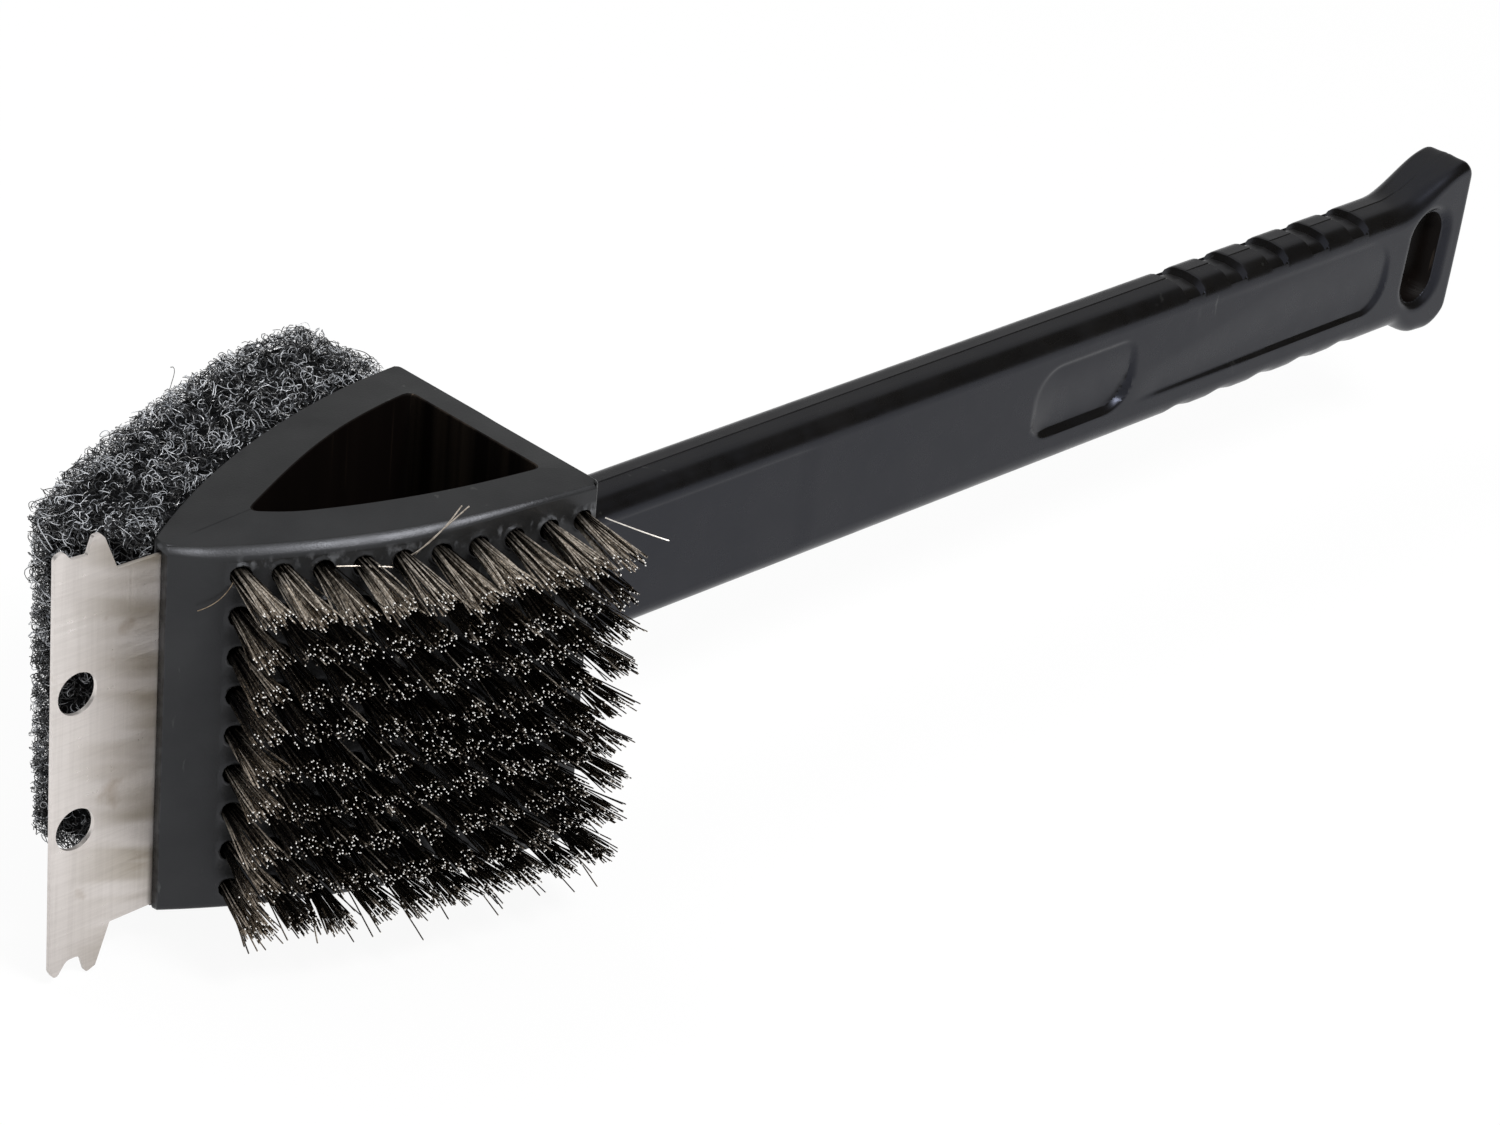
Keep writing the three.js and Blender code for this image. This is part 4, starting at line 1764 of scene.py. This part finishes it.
@dataclass
class HandleBar:
    """The flat handle, with its grip and flared end."""

    start: float = 78.3
    end: float = 368.4
    middle: float = 1.4
    half_height: float = 15.4
    half_thickness: float = 6.85
    edge: float = 4.5
    flare_start: float = 342.4
    flare_top: float = 6.6
    flare_land: float = 367.4
    low_start: float = 347.4
    low_land: float = 356.0
    flare_low: float = 3.2
    end_from: float = 334.0
    end_top: float = 3.2
    end_foot: float = 6.6
    end_edge: float = 1.5
    end_slant: float = 2.6
    end_bulge: float = 0.3
    end_steps: int = 14
    thumb: SidePanel = SidePanel(238.8, 1.7, 15.6, 8.2, 4.6)
    label: SidePanel = SidePanel(121.0, 1.0, 36.0, 11.4, 3.0)
    label_depth: float = 0.14
    grip: SidePanel = SidePanel(293.0, 2.6, 47.6, 9.0, 7.6)
    grip_depth: float = 0.85
    groove_places: tuple[float, ...] = (273.2, 287.2, 301.2, 315.2, 329.2)
    groove_half: float = 3.4
    groove_depth: float = 1.45
    groove_reach: float = 8.0
    groove_corner: float = 1.7
    under_half: float = 4.4
    under_depth: float = 0.6
    parting_depth: float = 0.15
    parting_half: float = 0.26
    slot_centre: tuple[float, float] = (354.6, 2.3)
    slot_half: float = 5.4
    slot_radius: float = 5.6
    slot_tilt: float = 5.0
    slot_ease: float = 2.4
    slot_steps: int = 64
    pitches: tuple[tuple[float, float], ...] = ((214.0, 2.4), (262.0, 0.8), (334.0, 0.5), (math.inf, 0.6))
    side_rows: int = 62
    bend_steps: int = 7
    top_shares: tuple[float, ...] = (0.0, 0.12, 0.26, 0.5, 0.75)
    bottom_shares: tuple[float, ...] = (0.75, 0.5, 0.25)

    def top_line(self, x: float) -> float:
        """Height of the upper edge."""
        share = smooth_share((x - self.flare_start) / (self.flare_land - self.flare_start))
        return self.middle + self.half_height + self.flare_top * share

    def bottom_line(self, x: float) -> float:
        """Height of the lower edge."""
        share = smooth_share((x - self.low_start) / (self.low_land - self.low_start))
        return self.middle - self.half_height - self.flare_low * share

    def slot_gap(self, x: float, z: float) -> float:
        """Distance from the hanging slot's outline.

        Args:
            x: place along the handle.
            z: height.

        Returns:
            The distance, negative inside the slot.
        """
        tilt = math.radians(self.slot_tilt)
        dx, dz = x - self.slot_centre[0], z - self.slot_centre[1]
        up = dz * math.cos(tilt) + dx * math.sin(tilt)
        across = dx * math.cos(tilt) - dz * math.sin(tilt)
        up -= max(-self.slot_half, min(self.slot_half, up))
        return math.hypot(up, across) - self.slot_radius

    def thumb_sink(self, x: float, z: float) -> float:
        """Depth of the thumb recess, which deepens rearwards and downwards.

        Args:
            x: place along the handle.
            z: height.

        Returns:
            The depth there.
        """
        diagonal = (x - self.thumb.x) * (z - self.thumb.z)
        gap = self.thumb.gap(x, z, 3.5 * (1.0 - smooth_share(0.5 + diagonal / 60.0)))
        deepen = smooth_share((x - 219.0) / 12.0) * (1.0 - 0.78 * smooth_share((z + 6.0) / 14.0))
        wall = 0.8 + 0.9 * (1.0 - smooth_share((z + 6.6) / 3.0))
        return (0.035 + 1.4 * deepen) * inside_share(gap, wall, wall + 0.3)

    def grip_sink(self, x: float, z: float) -> float:
        """Depth of the long recess beside the grip, which opens rearwards and is deepest low down.

        Args:
            x: place along the handle.
            z: height.

        Returns:
            The depth there.
        """
        spread = smooth_share((x - 256.0) / 60.0)
        low = 1.0 - smooth_share((z + 6.2 - 3.2 * spread) / (8.0 + 6.0 * spread))
        fade = smooth_share((x - 254.5) / 11.0) * (0.12 * spread + (0.5 + 0.38 * spread) * low)
        return self.grip_depth * fade * inside_share(self.grip.gap(x, z), 0.9, 1.3)

    def side_sink(self, x: float, z: float) -> float:
        """How far the side face sinks in its recesses, the label's panel and the slot's eased rim.

        Args:
            x: place along the handle.
            z: height.

        Returns:
            The depth there.
        """
        panel = self.label_depth * inside_share(self.label.gap(x, z), 0.6, 0.6)
        sink = self.thumb_sink(x, z) + panel + self.grip_sink(x, z)
        away = min(max(self.slot_ease - self.slot_gap(x, z), 0.0), 0.87 * self.slot_ease)
        return sink + self.slot_ease - math.sqrt(self.slot_ease**2 - away**2)

    def groove_sink(self, x: float, around: float) -> float:
        """How far the top sinks in a cross groove with round ends, a slanted wall and a steep one.

        Args:
            x: place along the handle.
            around: length over the top from its middle line.

        Returns:
            The depth there.
        """
        sink = 0.0
        for place in self.groove_places:
            gap = rounded_box(x - place, around, self.groove_half, self.groove_reach, self.groove_corner)
            share = (x - place + self.groove_half) / (2.0 * self.groove_half)
            slope = 0.84 + 0.16 * min(1.0, max(0.0, share / 0.8))
            rise = min(1.0, max(0.0, (0.98 - share) / 0.17))
            sink = max(sink, slope * rise * inside_share(gap, 0.6, 0.6))
        return self.groove_depth * sink

    def under_sink(self, x: float) -> float:
        """How far the underside rises in a shallow finger groove.

        Args:
            x: place along the handle.

        Returns:
            The height there.
        """
        sink = 0.0
        for place in self.groove_places:
            off = abs(x - place) / self.under_half
            if off < 1.0:
                sink = max(sink, self.under_depth * math.cos(0.5 * math.pi * off) ** 1.4)
        return sink

    def half_loop(self, thick: float, edge: float, length: float) -> list[tuple[float, float]]:
        """The plain outline of half a cross-section.

        Args:
            thick: half of its thickness.
            edge: the radius of its edges.
            length: its height.

        Returns:
            Distances out from the middle line and down from the top, from the top on.
        """
        flat = thick - edge
        turns = np.linspace(0.0, 0.5 * math.pi, self.bend_steps, endpoint=False)
        low_turns = turns + 0.5 * math.pi / self.bend_steps
        half = [(share * flat, 0.0) for share in self.top_shares]
        half += [(flat + edge * math.sin(a), edge * (1.0 - math.cos(a))) for a in turns]
        side_shares = np.linspace(0.0, 1.0, self.side_rows)
        half += [(thick, edge + share * (length - 2.0 * edge)) for share in side_shares]
        half += [(flat + edge * math.cos(a), length - edge + edge * math.sin(a)) for a in low_turns]
        return half + [(share * flat, length) for share in self.bottom_shares]

    def loop(self, top: Vector, bottom: Vector, trims: tuple[float, float], shrink: float) -> list[Vector]:
        """The loop of points round one cross-section.

        Args:
            top: highest point of the section's middle line, as X and Z.
            bottom: its lowest point.
            trims: how far its upper and lower ends are pulled in.
            shrink: how far its sides are pulled in.

        Returns:
            Points from the top's middle over the near side and back over the far side.
        """
        way = (bottom - top).normalized()
        thick = self.half_thickness - shrink
        edge = min(self.edge - 2.0 * smooth_share((top.x - 346.0) / 18.0), thick)
        top, bottom = top + way * trims[0], bottom - way * trims[1]
        section = Section(top, way, thick, (bottom - top).length)
        half = self.half_loop(thick, edge, section.length)
        near = [self.shaped(section, out, down, -1) for out, down in half]
        far = [self.shaped(section, out, down, 1) for out, down in reversed(half[1:])]
        return [*near, self.shaped(section, 0.0, section.length, -1), *far]

    def shaped(self, section: Section, out: float, down: float, side: int) -> Vector:
        """Presses the grip's details into one point of a section.

        Args:
            section: the cross-section.
            out: the point's distance from the middle line.
            down: its distance from the top.
            side: 1 for the pad's side and -1 for the wires' side.

        Returns:
            The point.
        """
        spot = section.top + section.way * down
        x, z = spot.x, spot.y
        if down < 0.5 * section.length:
            groove = self.groove_sink(x, out + 0.85 * down)
            parting = self.parting_depth * (1.0 - smooth_share(out / self.parting_half))
            crown = 0.1 * min(out, section.thick - self.edge) * (1.0 - smooth_share((down - 2.0) / 8.0))
            z -= groove + parting * (1.0 - smooth_share(2.0 * groove)) + crown
        z += self.under_sink(x) * (1.0 - smooth_share((section.length - down - 1.2) / 2.4))
        flat_share = smooth_share((out - 0.55 * section.thick) / (0.4 * section.thick))
        sink = self.side_sink(x, spot.y) * flat_share * smooth_share((down - 2.2) / 1.6)
        arch = max(0.0, 1.0 - ((down / section.length) * 2.0 - 1.0) ** 2)
        bulge = self.end_bulge * arch * smooth_share((x - 340.0) / 24.0)
        return Vector((x + bulge, side * (out - min(sink, out)), z))

    def places(self) -> list[float]:
        """Where the cross-sections before the rounded end stand, closer together on the grip.

        Returns:
            Places along the handle.
        """
        places: list[float] = []
        x = self.start
        while x < self.end - self.end_foot - 0.2:
            places.append(x)
            x += next(pitch for limit, pitch in self.pitches if x < limit)
        return places

    def sections(self) -> list[list[Vector]]:
        """All cross-sections, from the head to the end.

        Returns:
            The loop of each section. The sections slant more and more towards the end.
        """
        loops = []
        length = self.end - self.end_from
        for place in self.places():
            low_x = place - self.end_slant * max(0.0, (place - self.end_from) / length)
            top, bottom = Vector((place, self.top_line(place))), Vector((low_x, self.bottom_line(low_x)))
            loops.append(self.loop(top, bottom, (0.0, 0.0), 0.0))
        for step in range(self.end_steps + 1):
            gap = self.end_foot * (1.0 - math.sin(math.radians(90.0 * step / self.end_steps)))
            place = self.end - gap
            share = (place - self.end_from) / length
            top = Vector((place, self.top_line(place)))
            bottom = Vector((place - self.end_slant * share, self.bottom_line(self.end)))
            trims = (quarter(self.end_top, gap), quarter(self.end_foot, gap))
            loops.append(self.loop(top, bottom, trims, quarter(self.end_edge, gap)))
        top = Vector((self.end, self.top_line(self.end)))
        bottom = Vector((self.end - self.end_slant, self.bottom_line(self.end)))
        for inset in (1.0, 2.0):
            trims = (self.end_top + 0.4 * inset, self.end_foot + 0.4 * inset)
            loops.append(self.loop(top, bottom, trims, self.end_edge + inset))
        return loops

    def slot_cutter(self) -> Piece:
        """The prism that opens the hanging slot.

        Returns:
            The cutter's object.
        """
        block = bmesh.new()
        tilt = math.radians(self.slot_tilt)
        deep = self.half_thickness + 4.0
        ring = []
        for index in range(self.slot_steps):
            angle = 2.0 * math.pi * index / self.slot_steps
            across, up = self.slot_radius * math.cos(angle), self.slot_radius * math.sin(angle)
            up += self.slot_half if math.sin(angle) > 0.0 else -self.slot_half
            x = self.slot_centre[0] + across * math.cos(tilt) + up * math.sin(tilt)
            z = self.slot_centre[1] + up * math.cos(tilt) - across * math.sin(tilt)
            ring.append((x, z))
        for loop in loft(block, [[Vector((x, y, z)) for x, z in ring] for y in (-deep, deep)]):
            bmesh.ops.contextual_create(block, geom=loop)
        return settle(block, "hanging_cutter", [], 30.0)

    def build(self, finish: Material, inside: Material) -> Piece:
        """Models the handle.

        Args:
            finish: the outer plastic.
            inside: the finish of the hanging slot's walls.

        Returns:
            The handle's object.
        """
        shell = bmesh.new()
        rings = loft(shell, self.sections())
        for loop in (rings[0], rings[-1]):
            bmesh.ops.contextual_create(shell, geom=loop)
        piece = settle(shell, "handle_bar", [finish, inside], 27.0)
        carve(piece, self.slot_cutter())
        for face in piece.data.polygons:
            spot = Vector(face.center) / MILLIMETRE + ORIGIN
            wall = abs(face.normal.y) < 0.3 and abs(spot.y) < self.half_thickness - 1.0
            if wall and abs(self.slot_gap(spot.x, spot.z)) < 0.3:
                face.material_index = 1
        return piece


# The studio


@dataclass(frozen=True)
class Flag:
    """A dark card in the surround: where it is, the cosines it fades in between, and what it leaves."""

    way: Point
    edges: tuple[float, float]
    least: float


@dataclass(frozen=True)
class Lamp:
    """A soft square lamp: its place, its size, its power and whether reflections show it."""

    name: str
    place: Point
    size: float
    power: float
    glossy: bool = True

    def build(self, aim: Vector) -> None:
        """Hangs the lamp, turned to what it lights.

        Args:
            aim: the point it looks at.
        """
        data = bpy.data.lights.new(self.name, "AREA")
        data.shape = "SQUARE"
        data.size = self.size
        data.energy = self.power
        lamp = put_in_scene(self.name, data)
        lamp.location = self.place
        lamp.rotation_euler = (aim - Vector(self.place)).to_track_quat("-Z", "Y").to_euler()
        lamp.visible_glossy = self.glossy


@dataclass
class Studio:
    """White sweep, soft lamps and the camera."""

    floor_height: float = -0.049
    floor_half: float = 6.0
    floor_glow: float = 0.93
    eye: Point = (-0.76808, -0.52630, 0.40025)
    right: Point = (0.714513, -0.693908, 0.089233)
    up: Point = (0.276816, 0.397535, 0.874837)
    back: Point = (-0.642529, -0.600381, 0.476129)
    lens: float = 105.404
    shift: tuple[float, float] = (-0.0012, 0.0003)
    brightest: Point = (-0.2, -0.3, 1.0)
    flags: tuple[Flag, ...] = (
        Flag((0.72, -0.35, 0.4), (0.68, 0.86), 0.03),
        Flag((0.75, 0.55, 0.35), (0.74, 0.93), 0.52),
        Flag((-0.48, 0.6, 0.6), (0.8, 0.92), 0.02),
        Flag((0.5, 0.72, 0.48), (0.98, 0.996), 0.15),
    )
    aim: Point = (-0.28, 0.0, 0.0)
    lamps: tuple[Lamp, ...] = (
        Lamp("top_lamp", (-0.22, -0.65, 0.9), 0.3, 10.0),
        Lamp("back_lamp", (-0.33, 0.62, 0.85), 0.6, 4.0, False),
    )

    def camera(self) -> None:
        """Sets the camera at the photograph's viewing angle."""
        data = bpy.data.cameras.new("camera")
        data.lens = self.lens
        data.sensor_width = 36.0
        data.sensor_fit = "HORIZONTAL"
        data.shift_x, data.shift_y = self.shift
        data.clip_start, data.clip_end = 0.01, 50.0
        camera = put_in_scene("camera", data)
        camera.matrix_world = Matrix([*zip(self.right, self.up, self.back, self.eye), (0.0, 0.0, 0.0, 1.0)])
        bpy.context.scene.camera = camera

    def facing(self, board: NodeBoard, way: Point) -> Socket:
        """Cosine of the angle between a direction of the surround and another."""
        spot = board.add("ShaderNodeTexCoord").outputs["Generated"]
        return board.vector("DOT_PRODUCT", "Value", spot, Vector(way).normalized())

    def world(self) -> None:
        """A pale surround, with dark flags for the brush's reflections that soft light doesn't see."""
        world = bpy.data.worlds.new("studio")
        bpy.context.scene.world = world
        world.use_nodes = True
        board = NodeBoard(world.node_tree)
        board.tree.nodes.clear()
        shades = []
        for flag in self.flags:
            shades.append(board.range(self.facing(board, flag.way), *flag.edges, 1.0, flag.least))
        light = board.range(self.facing(board, self.brightest), -1.0, 1.0, 0.25, 0.75)
        soft = board.add("ShaderNodeBackground", {"Strength": light})
        seen = board.add("ShaderNodeBackground", {"Strength": board.maths("MINIMUM", *shades)})
        layers = {"Fac": board.seen_directly(), 1: soft.outputs["Background"], 2: seen.outputs["Background"]}
        mix = board.add("ShaderNodeMixShader", layers)
        board.add("ShaderNodeOutputWorld", {"Surface": mix.outputs["Shader"]})

    def floor(self) -> None:
        """A large white floor that glows where it is seen and keeps a faint shadow."""
        shell = bmesh.new()
        bmesh.ops.create_grid(shell, x_segments=1, y_segments=1, size=self.floor_half)
        bmesh.ops.translate(shell, verts=shell.verts, vec=Vector((0.0, 0.0, self.floor_height)))
        mesh = bpy.data.meshes.new("floor")
        shell.to_mesh(mesh)
        shell.free()
        material, board, surface = new_board("floor_white")
        white = (0.86, 0.86, 0.86, 1.0)
        board.feed(surface, {"Base Color": white, "Roughness": 0.9, "Specular IOR Level": 0.1})
        share = board.maths("MULTIPLY", board.seen_directly(), self.floor_glow)
        glow = board.add("ShaderNodeEmission").outputs["Emission"]
        mix = board.add("ShaderNodeMixShader", {"Fac": share, 1: surface.outputs["BSDF"], 2: glow})
        output = next(node for node in board.tree.nodes if node.type == "OUTPUT_MATERIAL")
        board.feed(output, {"Surface": mix.outputs["Shader"]})
        mesh.materials.append(material)
        put_in_scene("floor", mesh)

    def build(self) -> None:
        """Sets up camera, surround, floor and lamps."""
        bpy.context.scene.view_settings.view_transform = "Standard"
        self.camera()
        self.world()
        self.floor()
        for lamp in self.lamps:
            lamp.build(Vector(self.aim))


def dress(piece: Piece, slot: Slot, *nodes: str) -> None:
    """Puts a piece on the brush's body, in place of the solids it stands for.

    Args:
        piece: the piece.
        slot: its material slot; not used.
        nodes: names of the solids that it replaces.
    """
    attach(piece, BODY)
    if nodes:
        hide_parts(*nodes)
    log.info("%s: %d faces", piece.name, len(piece.data.polygons))


def main() -> None:
    """Builds the whole scene, piece by piece."""
    logging.basicConfig(level=logging.INFO)
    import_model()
    Studio().build()
    arc, grid = SideArc(), TuftGrid()
    skin = HeadPlastic(
        "head_plastic",
        base=(0.013, 0.0132, 0.0132),
        roughness=0.34,
        grain=0.8,
        scuffs=0.8,
        specular=0.36,
        reflection_tint=(0.9, 0.92, 1.0),
    )
    bar = MouldedPlastic(
        "handle_plastic",
        base=(0.0046, 0.0041, 0.0034),
        roughness=0.29,
        grain=0.2,
        scuffs=0.25,
        specular=0.34,
        reflection_tint=(0.7, 0.76, 1.0),
    )
    dress(BrushHead(arc, grid).build(skin.material(), HollowPlastic().material()), Slot.HEAD, "head_body")
    dress(ScraperPlate().build(BrushedSteel().material()), Slot.SCRAPER, "scraper_plate")
    # The hanging slot's walls take the inner finish, whose near black is painted shade.
    slot_wall = HollowPlastic("slot_plastic", 0.12)
    dress(HandleBar().build(bar.material(), slot_wall.material()), Slot.HANDLE, "handle")
    tufts = WireField(arc, grid).build()
    for index, piece in enumerate(tufts):
        dress(piece, Slot.WIRE, *(f"wire_tufts_{k}" for k in range(1, 5) if index == 0))
    pad = ScouringPad(arc).build()
    for index, piece in enumerate(pad):
        dress(piece, Slot.PAD, *(("scouring_pad",) if index == 0 else ()))


if __name__ == "__main__":
    main()
